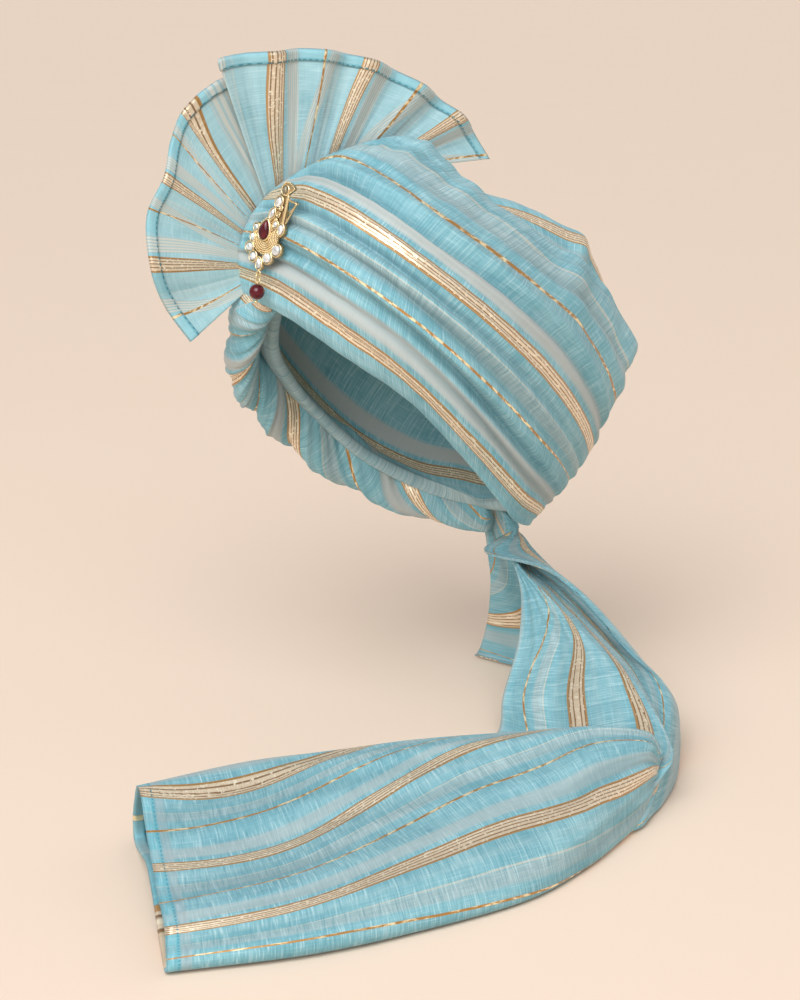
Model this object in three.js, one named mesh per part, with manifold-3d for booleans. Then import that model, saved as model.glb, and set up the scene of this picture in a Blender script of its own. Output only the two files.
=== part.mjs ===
// A tied turban (pagri): two swaths of wound striped cloth, a twisted roll along the right
// brow, a standing hemmed fan, a long tail that runs out on the floor, and a pinned brooch
// with a drop. Millimetres, +Z up, the wearer's front towards -Y and left towards +X.
// The origin is the middle of the wearer's head at the hat line.

import * as THREE from 'three';
import { mergeVertices } from 'three/addons/utils/BufferGeometryUtils.js';
import loadManifold from 'manifold-3d';

const wasm = await loadManifold();
wasm.setup();

// Driving sizes
const FLOOR_Z = -225; // floor that the tail runs out on
const WRAP_WALL = 8; // wound layers of one swath
const WRAP_EDGE = 2.5; // rounding of a swath's folded edges
const SHEET_WALL = 1.6; // a single cloth with its hem
const PLEAT_RISE = 3; // height of a wide pleat over its creases
const PLEAT_WIDE = 0.09; // share of the swath's width that a full-height pleat takes
const PLEAT_SINK = 0.6; // share of the pleat height that lies inside the swath's mean surface
const PLEAT_SPREAD = 0.75; // share of the pleat height that is kept where the cloth is spread
const PLEAT_GATHER = 0.5; // share of the height that is added at the front gather
const GATHER_REACH = 0.16; // share of the swath's length in which the gather eases off
const LEFT_STEPS = 20;
const RIGHT_STEPS = 18;
const TWIST_TURNS = 3.4; // turns of the brow roll from the front to the nape
const TWIST_RIDGE = 0.16; // height of the roll's ridges as a share of its radius
const TWIST_STEPS = 34;
const TWIST_SIDES = 12;
const FAN_PLANE_X = -17; // middle plane of the fan's pleats
const FAN_OPENING = 1.3; // power by which the pleats open between root and hem
const FAN_BANDS = 4; // rows of faces from root to hem
const FALL_STEPS = 12;
const FALL_SIDES = 20;
const RUN_STEPS = 15;
const RUN_SIDES = 18;
const FLOOR_LIFT = 0.5; // least height of the tail's cloth over the floor
const STONE_GAP = 0.3; // clearance of a stone in its bezel
const BEZEL_WALL = 0.9;
const PLATE_THICK = 1.2;
const CREST_THICK = 2;
const RAIL_THICK = 2.4;
const CRESCENT_THICK = 1.9;

// Left swath, a row for each section from the front seam round the side to the nape.
// Each section runs from the rim over the middle of the swath to its upper edge.
const LEFT_SECTIONS = [
  { rim: [-15, -96, 47], middle: [-11, -80, 106], top: [-6, 4, 136] },
  { rim: [20, -91, 36], middle: [24, -78, 110], top: [6, 12, 137] },
  { rim: [58, -75, 16], middle: [68, -70, 100], top: [18, 32, 119] },
  { rim: [79, -42, -12], middle: [100, -46, 76], top: [28, 62, 94] },
  { rim: [84, -4, -52], middle: [114, 0, 36], top: [36, 104, 65] },
  { rim: [74, 38, -92], middle: [102, 50, -8], top: [38, 138, 40] },
  { rim: [46, 72, -108], middle: [76, 90, -48], top: [34, 161, 0] },
  { rim: [10, 90, -112], middle: [34, 120, -76], top: [12, 164, -24] },
  { rim: [-30, 86, -108], middle: [-16, 124, -80], top: [-20, 158, -40] },
];

// Right swath, the same way round, with its upper edge tucked under the left swath.
const RIGHT_SECTIONS = [
  { rim: [4, -78, 52], side: [4, -72, 86], crown: [6, -44, 99], tuck: [20, -14, 101] },
  { rim: [-20, -76, 40], side: [-32, -72, 84], crown: [-14, -40, 102], tuck: [16, 2, 104] },
  { rim: [-44, -62, 5], side: [-74, -54, 74], crown: [-38, -6, 106], tuck: [22, 36, 93] },
  { rim: [-64, -38, -23], side: [-104, -28, 56], crown: [-44, 40, 101], tuck: [32, 70, 66] },
  { rim: [-69, -8, -53], side: [-116, 16, 20], crown: [-40, 92, 81], tuck: [37, 99, 38] },
  { rim: [-61, 26, -84], side: [-104, 60, -22], crown: [-38, 126, 57], tuck: [36, 124, 12] },
  { rim: [-42, 51, -100], side: [-82, 94, -54], crown: [-36, 151, 12], tuck: [32, 140, -22] },
  { rim: [-16, 70, -105], side: [-46, 105, -72], crown: [-30, 144, -34], tuck: [12, 137, -42] },
  { rim: [20, 74, -104], side: [16, 97, -84], crown: [12, 116, -62], tuck: [18, 127, -46] },
];

// Creases between the pleats, as shares of the swath's width at its front, middle and back.
const LEFT_CREASES = [
  { front: 0, middle: 0, back: 0 },
  { front: 0.1, middle: 0.07, back: 0.06 },
  { front: 0.2, middle: 0.16, back: 0.15 },
  { front: 0.28, middle: 0.25, back: 0.22 },
  { front: 0.36, middle: 0.34, back: 0.33 },
  { front: 0.44, middle: 0.41, back: 0.42 },
  { front: 0.5, middle: 0.47, back: 0.5 },
  { front: 0.57, middle: 0.56, back: 0.58 },
  { front: 0.66, middle: 0.63, back: 0.64 },
  { front: 0.74, middle: 0.72, back: 0.73 },
  { front: 0.83, middle: 0.8, back: 0.82 },
  { front: 0.91, middle: 0.9, back: 0.91 },
  { front: 1, middle: 1, back: 1 },
];
const RIGHT_CREASES = [
  { front: 0, middle: 0, back: 0 },
  { front: 0.12, middle: 0.08, back: 0.1 },
  { front: 0.24, middle: 0.2, back: 0.21 },
  { front: 0.35, middle: 0.29, back: 0.33 },
  { front: 0.45, middle: 0.41, back: 0.44 },
  { front: 0.56, middle: 0.5, back: 0.54 },
  { front: 0.67, middle: 0.63, back: 0.66 },
  { front: 0.78, middle: 0.74, back: 0.77 },
  { front: 0.89, middle: 0.87, back: 0.89 },
  { front: 1, middle: 1, back: 1 },
];

// Twisted roll along the right rim, from the front apex to the nape.
const TWIST_SECTIONS = [
  { centre: [0, -86, 34], halfHeight: 6, halfDepth: 4 },
  { centre: [-22, -88, 28], halfHeight: 13, halfDepth: 8 },
  { centre: [-44, -83, 12], halfHeight: 17, halfDepth: 9 },
  { centre: [-63, -75, -8], halfHeight: 17, halfDepth: 9 },
  { centre: [-81, -56, -27], halfHeight: 16, halfDepth: 9 },
  { centre: [-96, -27, -51], halfHeight: 15, halfDepth: 9 },
  { centre: [-99, 9, -78], halfHeight: 14, halfDepth: 8 },
  { centre: [-88, 47, -101], halfHeight: 13, halfDepth: 8 },
  { centre: [-54, 74, -115], halfHeight: 11, halfDepth: 7 },
  { centre: [-18, 80, -119], halfHeight: 7, halfDepth: 4 },
];

// Fan, a row for each pleat fold from the low front end to the back end.
// The front panel doubles back on itself once before the upper panel starts.
const FAN_FOLDS = [
  { root: [-20, -86, 53], hem: [-13, -136, 20] },
  { root: [-21, -87, 57], hem: [-22, -150, 42] },
  { root: [-21, -87, 61], hem: [-14, -161, 66] },
  { root: [-21, -87, 68], hem: [-23, -160, 96] },
  { root: [-21, -86, 75], hem: [-14, -151, 119] },
  { root: [-21, -85, 81], hem: [-23, -143, 140] },
  { root: [-21, -83, 87], hem: [-16, -136, 158] },
  { root: [-20, -80, 93], hem: [-24, -112, 173] },
  { root: [-20, -76, 96], hem: [-26, -88, 178] },
  { root: [-18, -78, 97], hem: [-18, -100, 182] },
  { root: [-16, -81, 98], hem: [-7, -116, 186] },
  { root: [-17, -78, 100], hem: [-12, -98, 189] },
  { root: [-18, -72, 103], hem: [-2, -78, 190] },
  { root: [-18, -64, 106], hem: [-13, -60, 191] },
  { root: [-18, -56, 108], hem: [-3, -42, 190] },
  { root: [-18, -48, 110], hem: [-14, -26, 187] },
  { root: [-18, -40, 111], hem: [-4, -8, 183] },
  { root: [-18, -32, 112], hem: [-16, 10, 176] },
  { root: [-18, -24, 113], hem: [-6, 28, 167] },
  { root: [-18, -16, 114], hem: [-18, 44, 157] },
  { root: [-18, -8, 115], hem: [-8, 58, 147] },
  { root: [-18, -1, 115], hem: [-18, 70, 134] },
  { root: [-18, 6, 115], hem: [-13, 79, 119] },
];

// Tail's fall from the nape to the floor: an open fold of cloth. Each section runs from the
// free edge across the front panel to the right fold, then back round the outer layer.
const FALL_SECTIONS = [
  {
    edge: [10, 76, -117], panel: [13, 78, -116], fold: [15, 82, -117], lip: [13, 86, -118],
    outer: [4, 88, -119], back: [-5, 85, -118], backEdge: [-7, 79, -117],
  },
  {
    edge: [20, 79, -132], panel: [28, 82, -130], fold: [33, 88, -131], lip: [30, 94, -132],
    outer: [18, 97, -134], back: [-2, 94, -133], backEdge: [-9, 84, -132],
  },
  {
    edge: [45, 66, -158], panel: [60, 72, -153], fold: [74, 80, -150], lip: [76, 92, -156],
    outer: [60, 108, -165], back: [10, 108, -165], backEdge: [-22, 92, -164],
  },
  {
    edge: [66, 49, -179], panel: [94, 58, -169], fold: [128, 68, -163], lip: [134, 84, -171],
    outer: [108, 115, -188], back: [22, 120, -192], backEdge: [-36, 96, -190],
  },
  {
    edge: [84, 26, -203], panel: [124, 36, -192], fold: [182, 52, -172], lip: [190, 68, -184],
    outer: [150, 106, -206], back: [30, 126, -212], backEdge: [-46, 98, -212],
  },
  {
    edge: [95, 14, -222], panel: [160, 14, -220], fold: [236, 34, -194], lip: [256, 10, -220],
    outer: [196, 74, -222], back: [60, 128, -222], backEdge: [-52, 98, -222],
  },
  {
    edge: [126, -30, -223], panel: [178, -30, -222], fold: [236, 12, -204], lip: [264, -10, -221],
    outer: [212, 56, -223], back: [80, 124, -223], backEdge: [-51, 95, -223],
  },
];

// Tail's run on the floor, a flattened roll from its bend to the open hem. Each section
// goes from the near edge over the crest to the far roll and its foot.
const RUN_SECTIONS = [
  {
    near: [246, 16, -214], shoulder: [250, 16, -200], crest: [246, 20, -193],
    roll: [241, 26, -196], foot: [238, 26, -212],
  },
  {
    near: [256, 0, -220], shoulder: [259, 1, -192], crest: [249, 8, -182],
    roll: [236, 18, -185], foot: [228, 20, -220],
  },
  {
    near: [277, -38, -222], shoulder: [271, -34, -191], crest: [247, -26, -177],
    roll: [222, -14, -179], foot: [205, -6, -222],
  },
  {
    near: [296, -72, -223], shoulder: [285, -72, -194], crest: [248, -66, -180],
    roll: [210, -58, -177], foot: [186, -48, -223],
  },
  {
    near: [313, -120, -223], shoulder: [291, -117, -196], crest: [238, -110, -185],
    roll: [190, -100, -179], foot: [164, -92, -223],
  },
  {
    near: [319, -183, -223], shoulder: [299, -178, -199], crest: [233, -164, -193],
    roll: [178, -150, -180], foot: [150, -142, -223],
  },
  {
    near: [314, -245, -223], shoulder: [302, -242, -202], crest: [238, -222, -197],
    roll: [176, -204, -177], foot: [146, -192, -223],
  },
  {
    near: [293, -313, -223], shoulder: [290, -311, -206], crest: [239, -292, -197],
    roll: [178, -270, -177], foot: [134, -252, -223],
  },
];

// Brooch: where it sits on the front fold and which way it faces, with its own axes
// across, up and out of the plate.
const BROOCH_AT = [14, -98, 87.5];
const BROOCH_AZIMUTH = 16;
const BROOCH_ELEVATION = 8;
const STONES = [
  { name: 'ruby_stone', cut: 'pear', at: [0, 0], size: [8.6, 11.6], turn: -18 },
  { name: 'clear_stone_01', cut: 'oval', at: [13.5, 24.4], size: [4.6, 4.6], turn: 0 },
  { name: 'clear_stone_02', cut: 'oval', at: [9.2, 16.9], size: [5, 6.4], turn: -28 },
  { name: 'clear_stone_03', cut: 'marquise', at: [4.6, 10], size: [3.6, 6], turn: -24 },
  { name: 'clear_stone_04', cut: 'oval', at: [8, 3.6], size: [3, 3.6], turn: -12 },
  { name: 'clear_stone_05', cut: 'marquise', at: [12.6, 1], size: [4, 6.4], turn: -8 },
  { name: 'clear_stone_06', cut: 'oval', at: [-7.6, 1.2], size: [3.8, 3.8], turn: 0 },
  { name: 'clear_stone_07', cut: 'oval', at: [-9.8, -4.8], size: [3.4, 4.8], turn: 10 },
  { name: 'clear_stone_08', cut: 'oval', at: [-12.2, -10.8], size: [5.6, 5], turn: 0 },
  { name: 'clear_stone_09', cut: 'oval', at: [-8.6, -16.2], size: [5, 5.2], turn: -30 },
  { name: 'clear_stone_10', cut: 'pear', at: [-3.2, -20], size: [4.2, 6.4], turn: 0 },
  { name: 'clear_stone_11', cut: 'oval', at: [3.2, -16.4], size: [6.2, 5.8], turn: 0 },
  { name: 'clear_stone_12', cut: 'oval', at: [10.2, -11.4], size: [6.8, 6], turn: 30 },
];
const STEM_OUTLINE = [[1, 5], [8, 21], [15, 22], [14.6, 0], [8, -4]];
const CREST_OUTLINE = [[11, 25], [13, 28.4], [17, 28.6], [21, 25.4], [18, 23], [14, 21]];
const RAIL_OUTLINE = [[13.6, 4], [14.9, 4], [15.6, 21.4], [14.2, 21.4]];
const CRESCENT = { at: [0.4, -5], radii: [10.4, 9.4] };
const TONGUE = { y: -23.6, radii: [1.5, 1.7], thick: 2 };
const PIN = { from: [22, 17, -0.95], to: [-8, -9, -0.95], radius: 0.6 };
const STONE_SIDES = 10;
const PEAR_TAPER = 0.42; // share of its width that a pear cut loses at its point
const CLEAR_HEIGHT = 1.9; // from the stone's foot to its table
const RUBY_HEIGHT = 3.8;
const CLEAR_BEZEL = 2.5; // bezel top over the back of the plate
const RUBY_BEZEL = 3.4;
const BEAD_RADIUS = 4.7;
const DROP_X = -2.6; // drop's place across the brooch
const DROP_OUT = 2.2; // and out of its plate
const LINK_Y = -28.1; // jump ring's middle
const BEAD_Y = -36.9; // bead's middle
const BEAD_BORE = 0.85;
const LOOP = { y: -26, radius: 1.45, wire: 0.45 }; // fixed loop under the setting
const BRIDGE = { fromY: -23, fromOut: 1, toY: -24.7, radius: 0.55 }; // neck of that loop
const LINK = { radius: 1.9, wire: 0.4 };
const EYE = { rise: 1.9, radius: 1.4, wire: 0.4 }; // eye over the bead
const COLLAR = { low: 0.3, high: 0.9, radius: 1.3 };
const STALK_RADIUS = 0.5;
const FOOT = { drop: 1.2, radius: 1.1 };

const cloth = new THREE.MeshStandardMaterial({ color: 0x6fbcc9, roughness: 0.75, metalness: 0 });
const gold = new THREE.MeshStandardMaterial({ color: 0xd9b25f, roughness: 0.3, metalness: 1 });
const ruby = new THREE.MeshStandardMaterial({ color: 0x6d0f1e, roughness: 0.15, metalness: 0 });
const crystal = new THREE.MeshStandardMaterial({ color: 0xe9eef2, roughness: 0.08, metalness: 0 });

const vec = (values) => new THREE.Vector3(...values);
const shareSteps = (count) => Array.from({ length: count + 1 }, (_, i) => i / count);

// Smooth rails through one column of a table of sections.
function railsThrough(sections) {
  const curve = (column) => {
    const points = sections.map((section) => vec(section[column]));
    return new THREE.CatmullRomCurve3(points, false, 'catmullrom', 0.5);
  };
  return Object.keys(sections[0]).filter((key) => Array.isArray(sections[0][key])).map(curve);
}

// Polynomial through evenly spaced values, for numbers.
function through(values, share) {
  const last = values.length - 1;
  return values.reduce((sum, value, i) => {
    let weight = value;
    for (let k = 0; k <= last; k += 1) {
      if (k !== i) weight *= (share * last - k) / (i - k);
    }
    return sum + weight;
  }, 0);
}

// The same for points.
function throughPoints(points, share) {
  const axis = (key) => through(points.map((point) => point[key]), share);
  return new THREE.Vector3(axis('x'), axis('y'), axis('z'));
}

// Unit normals of a grid of points, across its rows and columns.
function gridNormals(rows, ring) {
  const count = rows[0].length;
  const step = (index) => (ring ? (index + count) % count : Math.min(Math.max(index, 0), count - 1));
  return rows.map((row, i) => row.map((_, j) => {
    const before = rows[Math.max(i - 1, 0)][j];
    const after = rows[Math.min(i + 1, rows.length - 1)][j];
    const along = after.clone().sub(before);
    const across = row[step(j + 1)].clone().sub(row[step(j - 1)]);
    return along.cross(across).normalize();
  }));
}

function offsetRows(rows, normals, distance) {
  const moved = (point, normal) => point.clone().addScaledVector(normal, distance);
  return rows.map((row, i) => row.map((point, j) => moved(point, normals[i][j])));
}

// A closed body from corner points and triangles of their numbers.
function bodyFrom(points, triangles) {
  const geometry = new THREE.BufferGeometry();
  const places = points.flatMap((point) => point.toArray());
  geometry.setAttribute('position', new THREE.Float32BufferAttribute(places, 3));
  geometry.setIndex(triangles.flat());
  geometry.computeVertexNormals();
  return geometry;
}

const flipped = (triangles) => triangles.map(([a, b, c]) => [a, c, b]);

// Two triangles for each cell of a grid whose first corner has the number start.
function gridTriangles(rowCount, columnCount, start, ring) {
  const triangles = [];
  const cells = ring ? columnCount : columnCount - 1;
  for (let i = 0; i < rowCount - 1; i += 1) {
    for (let j = 0; j < cells; j += 1) {
      const a = start + i * columnCount + j;
      const b = start + i * columnCount + ((j + 1) % columnCount);
      triangles.push([a, a + columnCount, b], [b, a + columnCount, b + columnCount]);
    }
  }
  return triangles;
}

// Grid numbers once round the border of a sheet.
function borderLoop(rowCount, columnCount) {
  const loop = [];
  for (let j = 0; j < columnCount - 1; j += 1) loop.push([0, j]);
  for (let i = 0; i < rowCount - 1; i += 1) loop.push([i, columnCount - 1]);
  for (let j = columnCount - 1; j > 0; j -= 1) loop.push([rowCount - 1, j]);
  for (let i = rowCount - 1; i > 0; i -= 1) loop.push([i, 0]);
  return loop;
}

// A sheet with a wall under it: the outer grid, the grid a wall below, and a rounded border.
// The rows' normals point out of the sheet.
function wallSheet(rows, wall, round) {
  const rowCount = rows.length;
  const columnCount = rows[0].length;
  const size = rowCount * columnCount;
  const normals = gridNormals(rows, false);
  const inner = offsetRows(rows, normals, -wall);
  const loop = borderLoop(rowCount, columnCount);
  const rim = loop.map(([i, j]) => {
    const inwardRow = Math.min(Math.max(i, 1), rowCount - 2);
    const inwardColumn = Math.min(Math.max(j, 1), columnCount - 2);
    const away = rows[i][j].clone().sub(rows[inwardRow][inwardColumn]).normalize();
    return rows[i][j].clone().add(inner[i][j]).multiplyScalar(0.5).addScaledVector(away, round);
  });
  const triangles = gridTriangles(rowCount, columnCount, 0, false);
  triangles.push(...flipped(gridTriangles(rowCount, columnCount, size, false)));
  loop.forEach(([i, j], k) => {
    const next = (k + 1) % loop.length;
    const a = i * columnCount + j;
    const b = loop[next][0] * columnCount + loop[next][1];
    const rimA = 2 * size + k;
    const rimB = 2 * size + next;
    triangles.push([a, b, rimA], [b, rimB, rimA]);
    triangles.push([rimA, rimB, a + size], [rimB, b + size, a + size]);
  });
  return bodyFrom([...rows.flat(), ...inner.flat(), ...rim], triangles);
}

// Fan of triangles that closes a ring of corners on a middle point.
function capTriangles(start, count, middle) {
  return Array.from({ length: count }, (_, j) => [start + j, start + ((j + 1) % count), middle]);
}

function ringMiddle(row) {
  return row.reduce((sum, point) => sum.add(point), new THREE.Vector3()).divideScalar(row.length);
}

// Width shares of the creases, and of the pleat crests between them, at one place along a swath.
function pleatShares(creases, along) {
  const lines = creases.map((crease) => through([crease.front, crease.middle, crease.back], along));
  const shares = [];
  lines.forEach((line, k) => {
    shares.push({ share: line, rise: 0 });
    if (k < lines.length - 1) {
      const wide = lines[k + 1] - line;
      shares.push({ share: line + wide / 2, rise: Math.min(1, wide / PLEAT_WIDE) });
    }
  });
  return shares;
}

// A pleated swath: sections through the rails, lifted into crests between the creases.
// Pleats stand higher at the front, where the cloth is gathered.
function swathBody(sections, creases, steps, mirrored) {
  const rails = railsThrough(sections);
  const flat = [];
  const lift = [];
  shareSteps(steps).forEach((along) => {
    const controls = rails.map((rail) => rail.getPoint(along));
    const gather = PLEAT_SPREAD + PLEAT_GATHER * Math.exp(-((along / GATHER_REACH) ** 2));
    const row = pleatShares(creases, along);
    if (mirrored) row.reverse();
    flat.push(row.map(({ share }) => throughPoints(controls, share)));
    lift.push(row.map(({ rise }) => PLEAT_RISE * (gather * rise - PLEAT_SINK)));
  });
  const normals = gridNormals(flat, false);
  const rows = flat.map((row, i) => row.map((point, j) => (
    point.clone().addScaledVector(normals[i][j], lift[i][j])
  )));
  return wallSheet(rows, WRAP_WALL, WRAP_EDGE);
}

// The brow roll: an ellipse carried along the rim, with two ridges that wind round it.
function twistBody() {
  const sides = TWIST_SIDES;
  const [path] = railsThrough(TWIST_SECTIONS);
  const column = (key, along) => {
    const place = along * (TWIST_SECTIONS.length - 1);
    const row = Math.min(Math.floor(place), TWIST_SECTIONS.length - 2);
    const next = TWIST_SECTIONS[row + 1];
    return THREE.MathUtils.lerp(TWIST_SECTIONS[row][key], next[key], place - row);
  };
  const rows = shareSteps(TWIST_STEPS).map((along) => {
    const centre = path.getPoint(along);
    const ahead = path.getTangent(along);
    const out = new THREE.Vector3(centre.x, centre.y, 0).normalize();
    out.addScaledVector(ahead, -out.dot(ahead)).normalize();
    const up = new THREE.Vector3().crossVectors(ahead, out);
    return Array.from({ length: sides }, (_, k) => {
      const angle = (2 * Math.PI * k) / sides;
      const winding = angle - 2 * Math.PI * TWIST_TURNS * along;
      const ridge = 1 + TWIST_RIDGE * (2 * Math.abs(Math.cos(winding)) - 1);
      return centre.clone()
        .addScaledVector(out, column('halfDepth', along) * ridge * Math.cos(angle))
        .addScaledVector(up, column('halfHeight', along) * ridge * Math.sin(angle));
    });
  });
  const last = (rows.length - 1) * sides;
  const triangles = flipped(gridTriangles(rows.length, sides, 0, true));
  const count = rows.length * sides;
  triangles.push(...flipped(capTriangles(0, sides, count)), ...capTriangles(last, sides, count + 1));
  return bodyFrom([...rows.flat(), ringMiddle(rows[0]), ringMiddle(rows.at(-1))], triangles);
}

// The fan: straight ribs from root to hem, pleated more and more towards the hem.
function fanBody() {
  const [roots, hems] = railsThrough(FAN_FOLDS);
  const rows = shareSteps(2 * (FAN_FOLDS.length - 1)).map((along) => {
    const root = roots.getPoint(along);
    const hem = hems.getPoint(along);
    return shareSteps(FAN_BANDS).map((reach) => {
      const point = root.clone().lerp(hem, reach);
      const pleat = (hem.x - FAN_PLANE_X) * reach ** FAN_OPENING;
      point.x = THREE.MathUtils.lerp(root.x, FAN_PLANE_X, reach) + pleat;
      return point;
    });
  });
  return wallSheet(rows, SHEET_WALL, 0);
}

// The tail's fall, an open fold lofted through its sections.
function fallBody() {
  const rails = railsThrough(FALL_SECTIONS);
  const rows = shareSteps(FALL_STEPS).map((along) => {
    const controls = rails.map((rail) => rail.getPoint(along));
    const section = new THREE.CatmullRomCurve3(controls, false, 'catmullrom', 0.5);
    return shareSteps(FALL_SIDES).map((share) => {
      const point = section.getPoint(share);
      point.z = Math.max(point.z, FLOOR_Z + FLOOR_LIFT + SHEET_WALL);
      return point;
    });
  });
  return wallSheet(rows, SHEET_WALL, 0);
}

// The tail's run, a flattened sleeve that is shut at its bend and open at its hem.
// The sections are the sleeve's inside, and its wall lies round them.
function runBody() {
  const sides = RUN_SIDES;
  const rails = railsThrough(RUN_SECTIONS);
  const rows = shareSteps(RUN_STEPS).map((along) => {
    const controls = rails.map((rail) => rail.getPoint(along));
    const under = controls[0].clone().add(controls.at(-1)).multiplyScalar(0.5);
    under.z = FLOOR_Z + FLOOR_LIFT + SHEET_WALL;
    const section = new THREE.CatmullRomCurve3([...controls, under], true, 'catmullrom', 0.5);
    return Array.from({ length: sides }, (_, k) => {
      const point = section.getPoint(k / sides);
      point.z = Math.max(point.z, FLOOR_Z + FLOOR_LIFT + SHEET_WALL);
      return point;
    });
  });
  const normals = gridNormals(rows, true);
  const outside = offsetRows(rows, normals, -SHEET_WALL);
  const size = rows.length * sides;
  const triangles = gridTriangles(rows.length, sides, 0, true);
  triangles.push(...flipped(gridTriangles(rows.length, sides, size, true)));
  triangles.push(...capTriangles(0, sides, 2 * size));
  triangles.push(...flipped(capTriangles(size, sides, 2 * size + 1)));
  const hem = size - sides;
  for (let k = 0; k < sides; k += 1) {
    const a = hem + k;
    const b = hem + ((k + 1) % sides);
    triangles.push([a, size + a, b], [b, size + a, size + b]);
  }
  const ends = [ringMiddle(rows[0]), ringMiddle(outside[0])];
  return bodyFrom([...rows.flat(), ...outside.flat(), ...ends], triangles);
}

// Solids for joining and cutting.
function solidOf(geometry) {
  const bare = geometry.clone();
  bare.deleteAttribute('normal');
  bare.deleteAttribute('uv');
  const merged = mergeVertices(bare, 1e-4);
  return new wasm.Manifold(new wasm.Mesh({
    numProp: 3,
    vertProperties: new Float32Array(merged.attributes.position.array),
    triVerts: new Uint32Array(merged.index.array),
  }));
}

function geometryOf(solid) {
  const mesh = solid.getMesh();
  const geometry = new THREE.BufferGeometry();
  geometry.setAttribute('position', new THREE.BufferAttribute(mesh.vertProperties, 3));
  geometry.setIndex(new THREE.BufferAttribute(mesh.triVerts, 1));
  geometry.computeVertexNormals();
  return geometry;
}

const joined = (geometries) => geometries.map(solidOf).reduce((sum, solid) => sum.add(solid));

// The outer body of a joined solid, with the small pockets between its layers filled.
const outerBody = (solid) => solid.decompose().sort((a, b) => b.volume() - a.volume())[0];

// Share of its full width that each cut keeps at an angle round the stone.
const CUT_WIDTH = {
  oval: () => 1,
  marquise: (angle) => Math.abs(Math.cos(angle)) ** 0.5,
  pear: (angle) => 1 - PEAR_TAPER * ((1 + Math.sin(angle)) / 2) ** 2,
};

// Outline of a stone, grown by a margin, as points round its own middle.
function stoneOutline({ cut, at, size, turn }, margin) {
  const tilt = THREE.MathUtils.degToRad(turn);
  return Array.from({ length: STONE_SIDES }, (_, k) => {
    const angle = (2 * Math.PI * k) / STONE_SIDES;
    const x = ((size[0] / 2) * CUT_WIDTH[cut](angle) + margin) * Math.cos(angle);
    const y = (size[1] / 2 + margin) * Math.sin(angle);
    const corner = new THREE.Vector2(x, y).rotateAround(new THREE.Vector2(), tilt);
    return corner.add(new THREE.Vector2(...at));
  });
}

// A prism over an outline between two heights.
function prism(outline, low, high) {
  const shape = new THREE.Shape(outline);
  const options = { depth: high - low, bevelEnabled: false };
  return new THREE.ExtrudeGeometry(shape, options).translate(0, 0, low);
}

// A stone as rings of its outline: foot, girdle and table, or a dome for the cabochon.
function stoneBody(stone, rings) {
  const sides = STONE_SIDES;
  const middle = new THREE.Vector2(...stone.at);
  const outline = stoneOutline(stone, 0);
  const points = rings.flatMap(({ scale, height }) => outline.map((corner) => {
    const flat = corner.clone().sub(middle).multiplyScalar(scale).add(middle);
    return new THREE.Vector3(flat.x, flat.y, height);
  }));
  const last = (rings.length - 1) * sides;
  const triangles = flipped(gridTriangles(rings.length, sides, 0, true));
  triangles.push(...flipped(capTriangles(0, sides, points.length)));
  triangles.push(...capTriangles(last, sides, points.length + 1));
  const ends = [rings[0], rings.at(-1)].map(({ height }) => vec([...stone.at, height]));
  return bodyFrom([...points, ...ends], triangles);
}

function clearStone(stone) {
  const foot = PLATE_THICK + STONE_GAP;
  return stoneBody(stone, [
    { scale: 0.8, height: foot },
    { scale: 1, height: foot + 0.45 * CLEAR_HEIGHT },
    { scale: 0.66, height: foot + CLEAR_HEIGHT },
  ]);
}

function rubyStone(stone) {
  const foot = PLATE_THICK + STONE_GAP;
  return stoneBody(stone, [
    { scale: 0.94, height: foot },
    { scale: 1, height: foot + 0.4 * RUBY_HEIGHT },
    { scale: 0.88, height: foot + 0.68 * RUBY_HEIGHT },
    { scale: 0.6, height: foot + 0.9 * RUBY_HEIGHT },
    { scale: 0.2, height: foot + RUBY_HEIGHT },
  ]);
}

// A closed ring of round wire about an axis.
function wireRing(radius, wire) {
  return new THREE.TorusGeometry(radius, wire, 6, 12);
}

// A straight rod of flat-ended round wire between two points.
function rod(from, to, radius) {
  const ends = [vec(from), vec(to)];
  const geometry = new THREE.CylinderGeometry(radius, radius, ends[0].distanceTo(ends[1]), 8);
  const turn = new THREE.Quaternion().setFromUnitVectors(
    new THREE.Vector3(0, 1, 0),
    ends[1].clone().sub(ends[0]).normalize(),
  );
  geometry.applyQuaternion(turn);
  const middle = ends[0].clone().lerp(ends[1], 0.5);
  return geometry.translate(middle.x, middle.y, middle.z);
}

// Points round an ellipse, and corners from a table of pairs.
function disc([x, y], [rx, ry]) {
  const shape = new THREE.Shape().absellipse(x, y, rx, ry, 0, 2 * Math.PI, false, 0);
  return shape.getPoints(9);
}

const corners = (table) => table.map(([x, y]) => new THREE.Vector2(x, y));

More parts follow.
